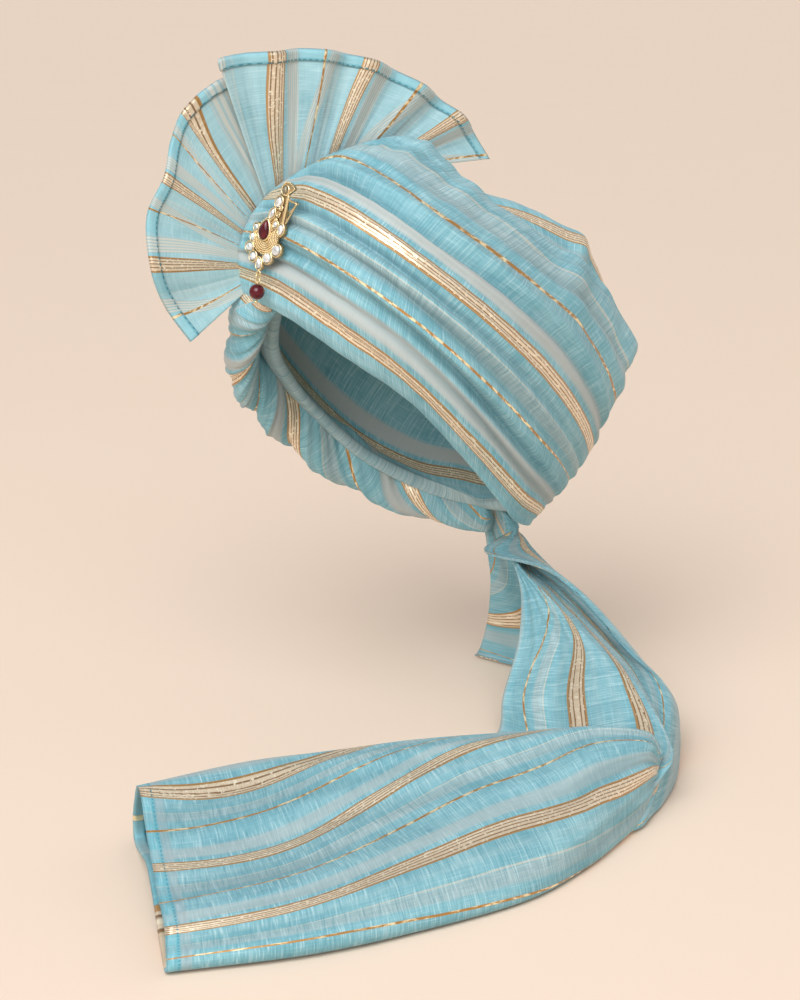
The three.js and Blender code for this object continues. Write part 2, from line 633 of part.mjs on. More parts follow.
// The soldered setting: plate, bezels, crescent, stem with its rail, crest and lower loop.
function settingBody() {
  const bezels = STONES.map((stone) => {
    const top = stone.name === 'ruby_stone' ? RUBY_BEZEL : CLEAR_BEZEL;
    return prism(stoneOutline(stone, STONE_GAP + BEZEL_WALL), 0, top);
  });
  const crescent = prism(disc(CRESCENT.at, CRESCENT.radii), 0, CRESCENT_THICK);
  const stem = prism(corners(STEM_OUTLINE), 0, PLATE_THICK);
  const crest = prism(corners(CREST_OUTLINE), 0, CREST_THICK);
  const rail = prism(corners(RAIL_OUTLINE), 0, RAIL_THICK);
  const tongue = prism(disc([DROP_X, TONGUE.y], TONGUE.radii), 0, TONGUE.thick);
  const loop = wireRing(LOOP.radius, LOOP.wire).translate(DROP_X, LOOP.y, DROP_OUT);
  const bridge = rod(
    [DROP_X, BRIDGE.fromY, BRIDGE.fromOut],
    [DROP_X, BRIDGE.toY, DROP_OUT],
    BRIDGE.radius,
  );
  const metal = joined([...bezels, crescent, stem, crest, rail, tongue, loop, bridge]);
  const bores = STONES.map((stone) => {
    const outline = stoneOutline(stone, STONE_GAP);
    return solidOf(prism(outline, PLATE_THICK, PLATE_THICK + RUBY_BEZEL));
  });
  return geometryOf(bores.reduce((rest, bore) => rest.subtract(bore), metal));
}

// The drop: a jump ring through the lower loop, an eye with its rod and foot, and the bead.
function dropLink() {
  const ring = wireRing(LINK.radius, LINK.wire).rotateY(Math.PI / 2);
  return ring.translate(DROP_X, LINK_Y, DROP_OUT);
}

function dropCap() {
  const top = BEAD_Y + BEAD_RADIUS;
  const base = BEAD_Y - BEAD_RADIUS;
  const at = (y) => [DROP_X, y, DROP_OUT];
  const eye = wireRing(EYE.radius, EYE.wire).translate(...at(top + EYE.rise));
  const stalk = rod(at(top + COLLAR.high), at(base - FOOT.drop / 2), STALK_RADIUS);
  const collar = rod(at(top + COLLAR.low), at(top + COLLAR.high), COLLAR.radius);
  const foot = new THREE.SphereGeometry(FOOT.radius, 10, 6).translate(...at(base - FOOT.drop));
  return geometryOf(joined([eye, stalk, collar, foot]));
}

function dropBead() {
  const start = Math.asin(BEAD_BORE / BEAD_RADIUS);
  const profile = shareSteps(8).map((share) => {
    const angle = start + share * (Math.PI - 2 * start);
    return new THREE.Vector2(BEAD_RADIUS * Math.sin(angle), -BEAD_RADIUS * Math.cos(angle));
  });
  profile.push(profile[0].clone());
  return new THREE.LatheGeometry(profile, 14).translate(DROP_X, BEAD_Y, DROP_OUT);
}

const turban = new THREE.Group();

function addPiece(group, name, geometry, material) {
  const piece = new THREE.Mesh(geometry, material);
  piece.name = name;
  group.add(piece);
}

addPiece(turban, 'left_wrap', swathBody(LEFT_SECTIONS, LEFT_CREASES, LEFT_STEPS, false), cloth);
addPiece(turban, 'right_wrap', swathBody(RIGHT_SECTIONS, RIGHT_CREASES, RIGHT_STEPS, true), cloth);
addPiece(turban, 'brow_twist', twistBody(), cloth);
addPiece(turban, 'fan', fanBody(), cloth);
addPiece(turban, 'tail', geometryOf(outerBody(joined([fallBody(), runBody()]))), cloth);

// The brooch in its own frame: across is level, up leans with the cloth, out is its face.
const azimuth = THREE.MathUtils.degToRad(BROOCH_AZIMUTH);
const elevation = THREE.MathUtils.degToRad(BROOCH_ELEVATION);
const across = new THREE.Vector3(Math.cos(azimuth), Math.sin(azimuth), 0);
const out = new THREE.Vector3(
  Math.sin(azimuth) * Math.cos(elevation),
  -Math.cos(azimuth) * Math.cos(elevation),
  Math.sin(elevation),
);
const up = new THREE.Vector3().crossVectors(out, across);
const brooch = new THREE.Group();
brooch.position.set(...BROOCH_AT);
brooch.quaternion.setFromRotationMatrix(new THREE.Matrix4().makeBasis(across, up, out));
turban.add(brooch);

addPiece(brooch, 'brooch_setting', settingBody(), gold);
STONES.forEach((stone) => {
  const isRuby = stone.name === 'ruby_stone';
  const body = isRuby ? rubyStone(stone) : clearStone(stone);
  addPiece(brooch, stone.name, body, isRuby ? ruby : crystal);
});
addPiece(brooch, 'drop_link', dropLink(), gold);
addPiece(brooch, 'drop_cap', dropCap(), gold);
addPiece(brooch, 'drop_bead', dropBead(), ruby);
addPiece(brooch, 'brooch_pin', rod(PIN.from, PIN.to, PIN.radius), gold);

export default turban;
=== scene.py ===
"""Looks of a tied turban: two swaths of striped cloth, a brow roll, a hemmed fan, a tail and a brooch.

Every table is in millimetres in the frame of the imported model, and goes into the meshes in metres.
"""

from functools import partial

import bmesh
import bpy
import numpy as np
from mathutils import Matrix


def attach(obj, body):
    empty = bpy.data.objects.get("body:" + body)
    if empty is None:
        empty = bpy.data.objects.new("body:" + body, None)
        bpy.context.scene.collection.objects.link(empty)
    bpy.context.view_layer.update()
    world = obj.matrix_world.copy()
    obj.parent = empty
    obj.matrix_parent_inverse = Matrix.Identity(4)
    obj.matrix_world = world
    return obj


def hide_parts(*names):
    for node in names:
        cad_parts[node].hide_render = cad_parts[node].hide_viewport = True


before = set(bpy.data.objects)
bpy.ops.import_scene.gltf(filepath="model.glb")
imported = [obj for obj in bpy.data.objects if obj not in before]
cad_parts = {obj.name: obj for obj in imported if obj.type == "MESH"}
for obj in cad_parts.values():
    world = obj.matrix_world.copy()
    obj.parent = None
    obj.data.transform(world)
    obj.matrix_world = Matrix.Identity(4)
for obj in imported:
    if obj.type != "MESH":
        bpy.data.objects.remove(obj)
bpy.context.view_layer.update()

MM = 0.001
FLOOR_Z = -225.0
CLOTH_REST = 2.1  # middle of folded cloth above the floor that it lies on
SHEET_REST = .6  # the same for its lowest face
NO_HEM = 99.0  # distance from a hem on cloth that has none

# Left swath from the front seam to the nape; each row runs rim, middle, upper edge.
LEFT_SECTIONS = np.array([
    [(-24, -97, 45), (-14, -83, 105), (-6, 4, 136)],
    [(20, -91, 36), (24, -78, 110), (6, 12, 137)],
    [(58, -75, 16), (68, -70, 100), (18, 32, 119)],
    [(79, -42, -12), (100, -46, 76), (28, 62, 94)],
    [(84, -4, -52), (114, 0, 36), (36, 104, 65)],
    [(74, 38, -92), (102, 50, -8), (38, 138, 40)],
    [(46, 72, -108), (76, 90, -48), (34, 161, 0)],
    [(10, 90, -112), (34, 120, -76), (12, 164, -24)],
    [(-30, 86, -108), (-16, 124, -80), (-20, 158, -40)],
], float)

# Right swath the same way round; each row runs rim, side, crown, tucked edge.
RIGHT_SECTIONS = np.array([
    [(4, -78, 52), (4, -72, 86), (6, -44, 99), (20, -14, 101)],
    [(-20, -76, 40), (-32, -72, 84), (-14, -40, 102), (16, 2, 104)],
    [(-48, -67, 4), (-74, -54, 74), (-38, -6, 106), (22, 36, 93)],
    [(-69, -43, -25), (-104, -28, 56), (-44, 40, 101), (32, 70, 66)],
    [(-80, -14, -53), (-116, 16, 20), (-40, 92, 81), (37, 99, 38)],
    [(-77, 20, -83), (-104, 60, -22), (-38, 126, 57), (36, 124, 12)],
    [(-56, 55, -104), (-82, 94, -54), (-36, 151, 12), (32, 140, -22)],
    [(-17, 73, -108), (-46, 105, -72), (-30, 144, -34), (12, 137, -42)],
    [(20, 74, -104), (16, 97, -84), (12, 116, -62), (18, 127, -46)],
], float)

# Creases between the pleats as shares of the width, at the front, the middle and the back. The upper
# ones run out over the swath's edge.
LEFT_CREASES = np.array([
    (0, 0, 0), (.1, .075, .06), (.19, .16, .15), (.28, .25, .24), (.36, .34, .36), (.43, .42, .46),
    (.5, .5, .57), (.57, .58, .67), (.64, .66, .77), (.7, .745, .88), (.76, .825, 1.02),
    (.82, .905, 1.16), (.88, .985, 1.3), (.94, 1.07, 1.46), (1.01, 1.16, 1.62),
])
RIGHT_CREASES = np.array([
    (0, 0, 0), (.12, .08, .1), (.24, .18, .2), (.34, .28, .31), (.43, .38, .42), (.52, .48, .54),
    (.61, .58, .66), (.7, .68, .78), (.79, .79, .92), (.88, .9, 1.06), (1.01, 1.02, 1.2),
])

# Deeper folds and rolls: width share at the front, the middle and the back, half width, height.
LEFT_FOLDS = np.array([
    (.185, .165, .15, .018, -3), (.24, .225, .22, .02, -4.6), (.275, .265, .27, .016, 1.8),
    (.345, .345, .37, .02, -3.6), (.385, .39, .42, .014, 2), (.42, .432, .46, .018, -4),
    (.575, .59, .65, .016, 2), (.61, .635, .7, .026, -5.8), (.665, .69, .755, .02, 2.4),
    (.76, .8, .88, .02, 1.8), (.8, .85, .96, .024, -4), (.9, .96, 1.1, .02, -3.2),
])
RIGHT_FOLDS = np.array([
    (.2, .18, .2, .03, -3), (.36, .34, .36, .03, -3.4), (.5, .48, .5, .028, -3.2),
    (.55, .53, .56, .03, 2), (.62, .6, .64, .026, -3.6), (.68, .67, .71, .03, 2.2),
    (.75, .735, .76, .024, -4), (.82, .86, .85, .04, 4.5), (.93, .945, .95, .018, -3),
])

# Where the woven stripes lie, here and on the other pieces: millimetres of the weave, then the width
# share at which that line of the weave runs, at evenly spaced places along the cloth.
LEFT_STRIPES = [
    (-17, 0, 0, 0), (0, .095, .08, .09), (33, .285, .29, .345), (66, .49, .497, .545),
    (99, .715, .745, .795), (124, 1, 1, 1),
]
RIGHT_STRIPES = [
    (-20, 0, 0, 0), (0, .15, .11, .12), (33, .33, .3, .3), (66, .52, .49, .49), (99, .7, .69, .68),
    (126, .85, .862, .85), (138, .885, .895, .88), (150, 1, 1, 1),
]

# Brow roll from the front to the nape: middle of the roll, half height, half depth.
TWIST_SECTIONS = np.array([
    (0, -88, 44, 8, 6), (-18, -91, 37, 15, 10), (-42, -85, 15, 17, 10), (-63, -75, -8, 17, 9),
    (-79, -53, -27, 17, 10), (-92, -24, -51, 17, 10), (-93, 11, -79, 16, 10), (-82, 46, -102, 15, 10),
    (-52, 70, -113, 13, 9), (-8, 78, -115, 9, 5),
], float)

# Fan: root and hem of each fold, from the low front end to the back end.
FAN_FOLDS = np.array([
    [(-20, -86, 53), (-13, -136, 20)], [(-21, -87, 57), (-22, -150, 42)],
    [(-21, -87, 61), (-14, -161, 66)], [(-21, -87, 68), (-23, -160, 96)],
    [(-21, -86, 75), (-14, -151, 119)], [(-21, -85, 81), (-23, -143, 140)],
    [(-21, -83, 87), (-16, -136, 158)], [(-20, -80, 93), (-24, -112, 173)],
    [(-20, -76, 96), (-26, -88, 178)], [(-18, -78, 97), (-18, -100, 182)],
    [(-16, -81, 98), (-7, -116, 186)], [(-17, -78, 100), (-12, -98, 189)],
    [(-18, -72, 103), (-2, -78, 190)], [(-18, -64, 106), (-13, -60, 191)],
    [(-18, -56, 108), (-3, -42, 190)], [(-18, -48, 110), (-14, -26, 187)],
    [(-18, -40, 111), (-4, -8, 183)], [(-18, -32, 112), (-16, 10, 176)],
    [(-18, -24, 113), (-6, 28, 167)], [(-18, -16, 114), (-18, 44, 157)],
    [(-18, -8, 115), (-8, 58, 147)], [(-18, -1, 115), (-18, 70, 134)],
    [(-18, 6, 115), (-13, 79, 119)],
], float)
FAN_PLANE_X = -17  # the folds lie to both sides of this plane
FAN_OPENING = 1.3  # they open as this power of the reach
FAN_DEPTH = .6  # share of the table's depth that the spread cloth keeps
FAN_REACH = 100  # the cloth's own coordinate at the hem, from 0 at the root
FAN_CREASES = [(43, 1.3, .3), (71, 4, .2)]  # count along the hem, phase, height
FAN_SWAY = (4.3, .6, 2.2)  # the stripes' sideways bow: count along the hem, phase, height
FAN_STRIPES = [
    (-48, 0), (-33, .03), (0, .095), (33, .145), (66, .18), (99, .235), (132, .27), (165, .42),
    (198, .548), (231, .63), (264, .72), (297, .811), (330, .907), (363, .992), (366, 1),
]

# Tail's fall from between the swaths at the nape down to the floor: the share of the length at which
# each row lies, then its points from the free edge over the front panel to the fold, into the valley
# behind it, and round the outer layer to the back edge.
FALL_PLACES = [-.05, 0, .07, .13, .22, .333, .5, .667, .833, 1]
FALL_SECTIONS = np.array([
    [(8, 76, -107), (9, 76, -107), (10, 77, -107), (9.5, 78, -107), (9, 79, -107), (4, 80, -107),
     (-9, 79.5, -107), (-15, 77, -107)],
    [(10, 76, -117), (13, 78, -116), (15, 82, -117), (14, 84, -118), (13, 86, -118),
     (4, 88, -119), (-11, 85, -118), (-17, 78, -117)],
    [(11, 76, -122), (14, 77, -121), (17, 79, -122), (14, 82, -123), (18, 64, -122),
     (15, 89, -124), (-10, 88, -124), (-19, 80, -123)],
    [(14, 75, -129), (17, 76, -129), (20, 76, -129), (15, 81, -131), (21, 55, -129),
     (24, 90, -131), (-8, 91, -131), (-21, 83, -130)],
    [(32, 71, -141), (34, 71, -138), (37, 72, -139), (20, 87, -142), (46, 80, -136),
     (41, 97, -143), (-4, 99, -144), (-24, 87, -145)],
    [(45, 66, -158), (56, 71, -153), (64, 75, -151), (42, 97, -156), (73, 91, -150),
     (68, 108, -162), (8, 108, -165), (-28, 92, -164)],
    [(66, 49, -179), (94, 58, -169), (123, 66, -163), (96, 94, -172), (131, 85, -169),
     (110, 113, -188), (22, 120, -192), (-36, 96, -190)],
    [(84, 26, -203), (124, 36, -192), (179, 51, -172), (160, 74, -184), (192, 70, -184),
     (150, 106, -206), (30, 126, -212), (-46, 98, -212)],
    [(95, 14, -222), (160, 14, -220), (236, 34, -194), (246, 22, -207), (259, 6, -220),
     (198, 72, -222), (60, 128, -222), (-52, 98, -222)],
    [(126, -30, -223), (178, -30, -222), (236, 12, -204), (252, -8, -213), (271, -29, -222),
     (218, 46, -223), (80, 124, -223), (-51, 95, -223)],
], float)
FALL_STRIPES = [
    (16, 0, 0, 0, 0, 0), (33, .6, .32, .097, .066, .04), (66, .61, .36, .22, .175, .12),
    (52, .62, .38, .265, .215, .16), (66, .63, .42, .325, .268, .22), (33, .64, .45, .36, .33, .31),
    (0, .65, .5, .43, .43, .43), (-33, .66, .575, .542, .53, .53), (-66, .68, .69, .7, .72, .72),
    (-99, .76, .77, .79, .8, .8), (-132, .87, .87, .88, .89, .89), (-165, 1, 1, 1, 1, 1),
]

# Tail's run on the floor; each row goes round from the near edge over shoulder, crest and far roll
# to the foot, and back under the cloth.
RUN_SECTIONS = np.array([
    [(246, 16, -214), (250, 16, -200), (246, 20, -193), (241, 26, -196), (238, 26, -212)],
    [(259, 2, -219), (259, 2, -193), (249, 8, -182), (236, 18, -185), (228, 20, -220)],
    [(281, -36, -222), (273, -34, -192), (247, -26, -177), (222, -14, -179), (205, -6, -222)],
    [(299, -72, -223), (287, -72, -194), (248, -66, -180), (210, -58, -177), (186, -48, -223)],
    [(316, -120, -223), (293, -117, -196), (238, -110, -185), (190, -100, -179), (164, -92, -223)],
    [(319, -183, -223), (299, -178, -199), (233, -164, -193), (178, -150, -180), (150, -142, -223)],
    [(314, -245, -223), (302, -242, -202), (238, -222, -197), (176, -204, -177), (146, -192, -223)],
    [(293, -313, -223), (290, -311, -206), (239, -292, -197), (178, -270, -177), (134, -252, -223)],
], float)
RUN_STRIPES = [
    (-66, -.2, -.19, -.16, -.1, -.02), (-33, -.02, -.01, .02, .06, .085),
    (0, .2, .145, .178, .167, .158), (33, .36, .335, .298, .251, .25),
    (66, .5, .49, .425, .332, .333), (99, .58, .56, .49, .41, .4),
    (132, .66, .63, .57, .46, .468), (165, .76, .73, .68, .62, .61), (198, .9, .9, .9, .92, .94),
]

# Brooch: its place, the turn and lean of its face, then everything in its own across, up and out.
BROOCH_AT = np.array((14, -98, 87.5))
BROOCH_AZIMUTH = np.radians(16)
BROOCH_ELEVATION = np.radians(8)
# Stones: cut, place on the plate, width and height, turn in degrees.
RUBY = ("pear", (0, 0), (8.6, 11.6), -18)
CLEAR_STONES = [
    ("oval", (13.5, 24.4), (4.6, 4.6), 0), ("oval", (9.2, 16.9), (5, 6.4), -28),
    ("marquise", (4.6, 10), (3.6, 6), -24), ("oval", (8, 3.6), (3, 3.6), -12),
    ("marquise", (12.6, 1), (4, 6.4), -8), ("oval", (-7.6, 1.2), (3.8, 3.8), 0),
    ("oval", (-9.8, -4.8), (3.4, 4.8), 10), ("oval", (-12.2, -10.8), (5.6, 5), 0),
    ("oval", (-8.6, -16.2), (5, 5.2), -30), ("pear", (-3.2, -20), (4.2, 6.4), 0),
    ("oval", (3.2, -16.4), (6.2, 5.8), 0), ("oval", (10.2, -11.4), (6.8, 6), 30),
]
STEM_OUTLINE = np.array([(1, 5), (8, 21), (15, 22), (14.6, 0), (8, -4)], float)
CREST_OUTLINE = np.array([(11, 25), (13, 28.4), (17, 28.6), (21, 25.4), (18, 23), (14, 21)], float)
PLATE_FOOT, PLATE_THICK, CRESCENT_TOP, CREST_TOP = .05, 1.2, 1.9, 2.0
CLEAR_BEZEL, RUBY_BEZEL, RUBY_TOP = 2.5, 3.4, 3.8
STONE_GAP = 0.3
CRESCENT_AT, CRESCENT_RADII = np.array((.4, -5)), np.array((10.4, 9.4))
CRESCENT_ARC = np.radians((150, 395))
GRAIN_ROWS = [(.96, .6), (.83, .62), (.7, .58), (.57, .55), (.44, .5), (.31, .45)]  # share, radius
# Bars: both ends, radius, points. The first carries the hook that the other two make.
BARS = [
    ((13.6, 4, 1.9), (16.6, 21.4, 1.9), 1.0, 20), ((16.4, 18.8, 1.7), (23.4, 16.8, 1.6), .75, 12),
    ((23.4, 16.8, 1.6), (15.6, 4.6, 1.6), .7, 20),
]
GRAIN_HEIGHT, SCROLL_RADIUS = 2.1, .42
SCROLLS = [((9.6, 9.4), 1.9, .4), ((11.6, 13.6), 1.7, 2.6), ((7.6, 6.4), 1.5, 4.4)]  # place, size, start
PIN_ENDS, PIN_RADIUS = ((22, 17, -.95), (-8, -9, -.95)), .6
DROP_X, DROP_OUT = -2.6, 2.2
EYE_Y, EYE_RADIUS, LINK_Y, LINK_RADIUS = -26, 1.45, -28.1, 1.9
BEAD_Y, BEAD_RADIUS = -36.9, 4.7
CAP_RADII = [.9, 1.15, 1.3, 1.3, 1.3, 1.2, 1.0]
DROP_HEIGHT = 3  # the drop's gold counts as high on the brooch, so no painted shade darkens it


# Shapes as arrays.

def cubic(a, b, c, d, x):
    """The cubic from b to c whose slope at each is half the difference of its two neighbours."""
    return b + x * ((c - a) / 2 + x * ((2 * a - 5 * b + 4 * c - d) / 2 + x * (3 * (b - c) + d - a) / 2))


def smooth_rows(rows, shares):
    """Rows joined by cubics, with the end rows mirrored to give the neighbours that are missing."""
    ends = np.concatenate([[2 * rows[0] - rows[1]], rows, [2 * rows[-1] - rows[-2]]])
    place = np.clip(shares, 0, 1) * (len(rows) - 1)
    span = np.minimum(place.astype(int), len(rows) - 2)
    x = (place - span).reshape(-1, *[1] * (rows.ndim - 1))
    return cubic(*(ends[span + k] for k in range(4)), x)


def smooth_ring(rows, shares):
    """The same cubics round a closed ring of rows."""
    place = (shares % 1) * len(rows)
    span = place.astype(int)
    x = (place - span).reshape(-1, *[1] * (rows.ndim - 1))
    return cubic(*(rows[(span + k - 1) % len(rows)] for k in range(4)), x)


def bow_weights(count, shares):
    """Weights of evenly spaced columns in the polynomial that passes through all of them."""
    k = np.arange(count)
    place = np.asarray(shares, float)[..., None, None] * (count - 1)
    terms = np.where(k[:, None] == k, 1.0, (place - k) / np.where(k[:, None] == k, 1, k[:, None] - k))
    return terms.prod(axis=-1)


def unit(vectors):
    """Vectors divided by their own lengths."""
    return vectors / np.maximum(np.linalg.norm(vectors, axis=-1, keepdims=True), 1e-9)


def facing(grid, ring=False):
    """Unit normals of a grid: the step along crossed with the step across."""
    if ring:
        across = np.roll(grid, -1, axis=1) - np.roll(grid, 1, axis=1)
    else:
        across = np.gradient(grid, axis=1)
    return unit(np.cross(np.gradient(grid, axis=0), across))


def weave_lines(stripes, along, across, first=.1, last=.8):
    """Millimetres across the weave: a chain of straight ramps between the listed lines, whose width
    shares bend as a polynomial through their places, evenly spaced from first to last along it."""
    table = np.array(stripes, float)
    place = (np.clip(along, 0, 1) - first) / (last - first)
    share = bow_weights(table.shape[1] - 1, place) @ table[:, 1:].T
    low, high = share[..., :-1], share[..., 1:]
    ramp = np.clip((across[..., None] - low) / np.maximum(high - low, 1e-4), 0, 1)
    return table[0, 0] + (ramp * np.diff(table[:, 0])).sum(axis=-1)


def quads(rows, columns, ring=False, both=False):
    """Corner numbers of a grid's cells, with the front where along crosses across points. A ring
    closes across, and both closes along as well."""
    i, j = np.meshgrid(np.arange(rows if both else rows - 1),
                       np.arange(columns if ring or both else columns - 1), indexing="ij")
    h, k = (i + 1) % rows, (j + 1) % columns
    return np.stack([i * columns + j, h * columns + j, h * columns + k, i * columns + k],
                    axis=-1).reshape(-1, 4)


def joined(shapes):
    """Several shapes as one: each one's corner numbers go on after the points before it."""
    starts = np.cumsum([0] + [len(points) for points, _ in shapes[:-1]])
    return (np.concatenate([points for points, _ in shapes]),
            np.concatenate([faces + start for (_, faces), start in zip(shapes, starts)]))


WELD_REACH, SLIVER_REACH = 2e-6, 1e-7  # metres


def piece(name, points, faces, finish, stands_for, layer=None, flat_shaded=False):
    """One object: millimetre points and four-cornered faces, welded where points meet. The first
    columns of layer become "lay": on cloth millimetres along it, across its weave and from its hem, on
    gold the place on the brooch. A fourth becomes "fold": the share of painted shade in the cloth's
    valleys and creases, partly the deeper colour of cloth lying doubled there, from 0 to 1."""
    mesh = bpy.data.meshes.new(name)
    mesh.vertices.add(len(points))
    mesh.vertices.foreach_set("co", (np.asarray(points) * MM).astype(np.float32).ravel())
    mesh.loops.add(faces.size)
    mesh.loops.foreach_set("vertex_index", faces.astype(np.int32).ravel())
    mesh.polygons.add(len(faces))
    mesh.polygons.foreach_set("loop_start", np.arange(0, faces.size, 4, dtype=np.int32))
    if layer is not None:
        layer = np.asarray(layer, np.float32)
        field = mesh.attributes.new("lay", "FLOAT_VECTOR", "POINT")
        field.data.foreach_set("vector", layer[:, :3].ravel())
        if layer.shape[1] > 3:
            field = mesh.attributes.new("fold", "FLOAT", "POINT")
            field.data.foreach_set("value", layer[:, 3].copy())
    mesh.update(calc_edges=True)
    work = bmesh.new()
    work.from_mesh(mesh)
    bmesh.ops.remove_doubles(work, verts=work.verts, dist=WELD_REACH)
    bmesh.ops.dissolve_degenerate(work, edges=work.edges, dist=SLIVER_REACH)
    work.to_mesh(mesh)
    work.free()
    mesh.polygons.foreach_set("use_smooth", np.full(len(mesh.polygons), not flat_shaded))
    mesh.materials.append(finish)
    thing = bpy.data.objects.new(name, mesh)
    bpy.context.scene.collection.objects.link(thing)
    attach(thing, "root")
    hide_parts(*stands_for)
    return thing


# Finishes.

def linear(code):
    """An sRGB hex colour in linear light: its low end divided by 12.92, the rest raised to 2.4."""
    c = np.array([int(code[k:k + 2], 16) for k in (1, 3, 5)]) / 255
    return (*np.where(c <= .04045, c / 12.92, ((c + .055) / 1.055) ** 2.4), 1.0)


def add(tree, kind, inputs=(), out=0, **settings):
    """A node with its settings; each input is a value or the socket that feeds it."""
    node = tree.nodes.new("ShaderNode" + kind)
    for key, value in settings.items():
        setattr(node, key, value)
    for key, value in dict(inputs).items():
        if isinstance(value, bpy.types.NodeSocket):
            tree.links.new(value, node.inputs[key])
        else:
            node.inputs[key].default_value = value
    return node.outputs[out] if len(node.outputs) else node


def empty_finish(name):
    """A material of that name and its node tree, emptied."""
    material = bpy.data.materials.new(name)
    material.use_nodes = True
    material.node_tree.nodes.clear()
    return material, material.node_tree


WEAVE_REPEAT = 66.0  # from one broad gold stripe to the next
STRIPE_DRIFT = 2.0  # how far the stripes wander sideways
ZARI_WIDE, ZARI_FINE = 9.2, 1.5
ZARI_THREAD = 1.84  # real gold threads lie about 0.4 apart; drawn coarser so that they show
ZARI_FLOAT = 1.2  # one tick of gold along a thread, coarser than real so that it shows
STITCH_LINE, STITCH_STEP = 6.3, 3.6
DRAWN_WIDE = 5.5  # band of drawn threads beside the tail's hem
OFF_STRIPE = 9.0  # pushes a measure past the range of its tint where the stripe isn't
RELIEF_CAP = 1.3
# Unevenness of the weave and spots of the painted glints: patch size along and across the cloth,
# detail, seed. Real threads lie about 0.3 apart; the weft and warp are drawn coarser so that they show.
CLOTH_NOISE = {
    "cloud": (38, 30, 2, 0), "weft": (.62, 13, 1.2, 7.7), "warp": (11, .6, 1.2, 12.3),
    "slub": (.8, 24, 1, 31.7), "glint": (1.5, 1.2, 2, 21.4), "dash": (4.5, 2, 2, 9.2),
    "drift": (60, 200, 2, 3.1),
}
# Lines of the weave, in millimetres from the broad gold stripe.
CLOTH_LINES = {"gold": 0, "sheer": 13, "hair": 33, "veil": 44, "pale": 48.2, "haze": 56}
# Stripes of a second layer seen through the first: millimetres aside at the hem, slant to the root.
UNDER_STRIPES = {"under_near": (12, .06), "under_far": (42, -.22)}
# Tints laid over each other: what is measured, where the tint starts, where it is full, share, colour.
GROUND_COLOUR = "#6fa6b3"
GROUND_TINTS = [
    ("cloud", .3, .7, 1, "#83b5c0"),
    ("veil", 5.2, 2.2, .58, "#abb3b2"), ("haze", 3.5, .5, .3, "#9fb9bf"),
    ("pale", .8, .1, .55, "#d9c9b2"),
    ("weft", .52, .72, .46, "#c0dce1"), ("weft", .47, .3, .5, "#558d9c"),
    ("slub", .68, .8, .4, "#d5e6ea"),
    ("warp", .54, .76, .3, "#b5d4db"), ("warp", .44, .28, .28, "#5a93a2"),
]
# Gold tints; the glints, bright and dark, are painted highlights and painted dark reflections.
ZARI_TINTS = [
    ("gold", ZARI_WIDE / 2 + .2, ZARI_WIDE / 2 - .3, 1, "#8f7152"), ("zari", .76, .54, 1, "#ecdcc2"),
    ("zari_tick", .44, .54, .22, "#b9a083"), ("zari_worn", .42, .3, .35, "#b8976b"),
    ("zari_glint", .56, .68, .9, "#fff5df"), ("zari_edge", .55, .3, .85, "#b58746"),
    ("hair", ZARI_FINE / 2 + .25, ZARI_FINE / 2 - .2, 1, "#b4864a"),
    ("hair_glint", .46, .64, 1, "#f9e7bb"),
    # The last tint on this line darkens the gold with painted shade in the folds.
    ("stitch", 1.1, .7, .8, "#438b9c"), ("zari_fold", 0, 1, .3, "#7d6247"),
]
CLOTH_RELIEF = [("weft", .55), ("warp", .4), ("zari", -.22), ("stitch", .1)]


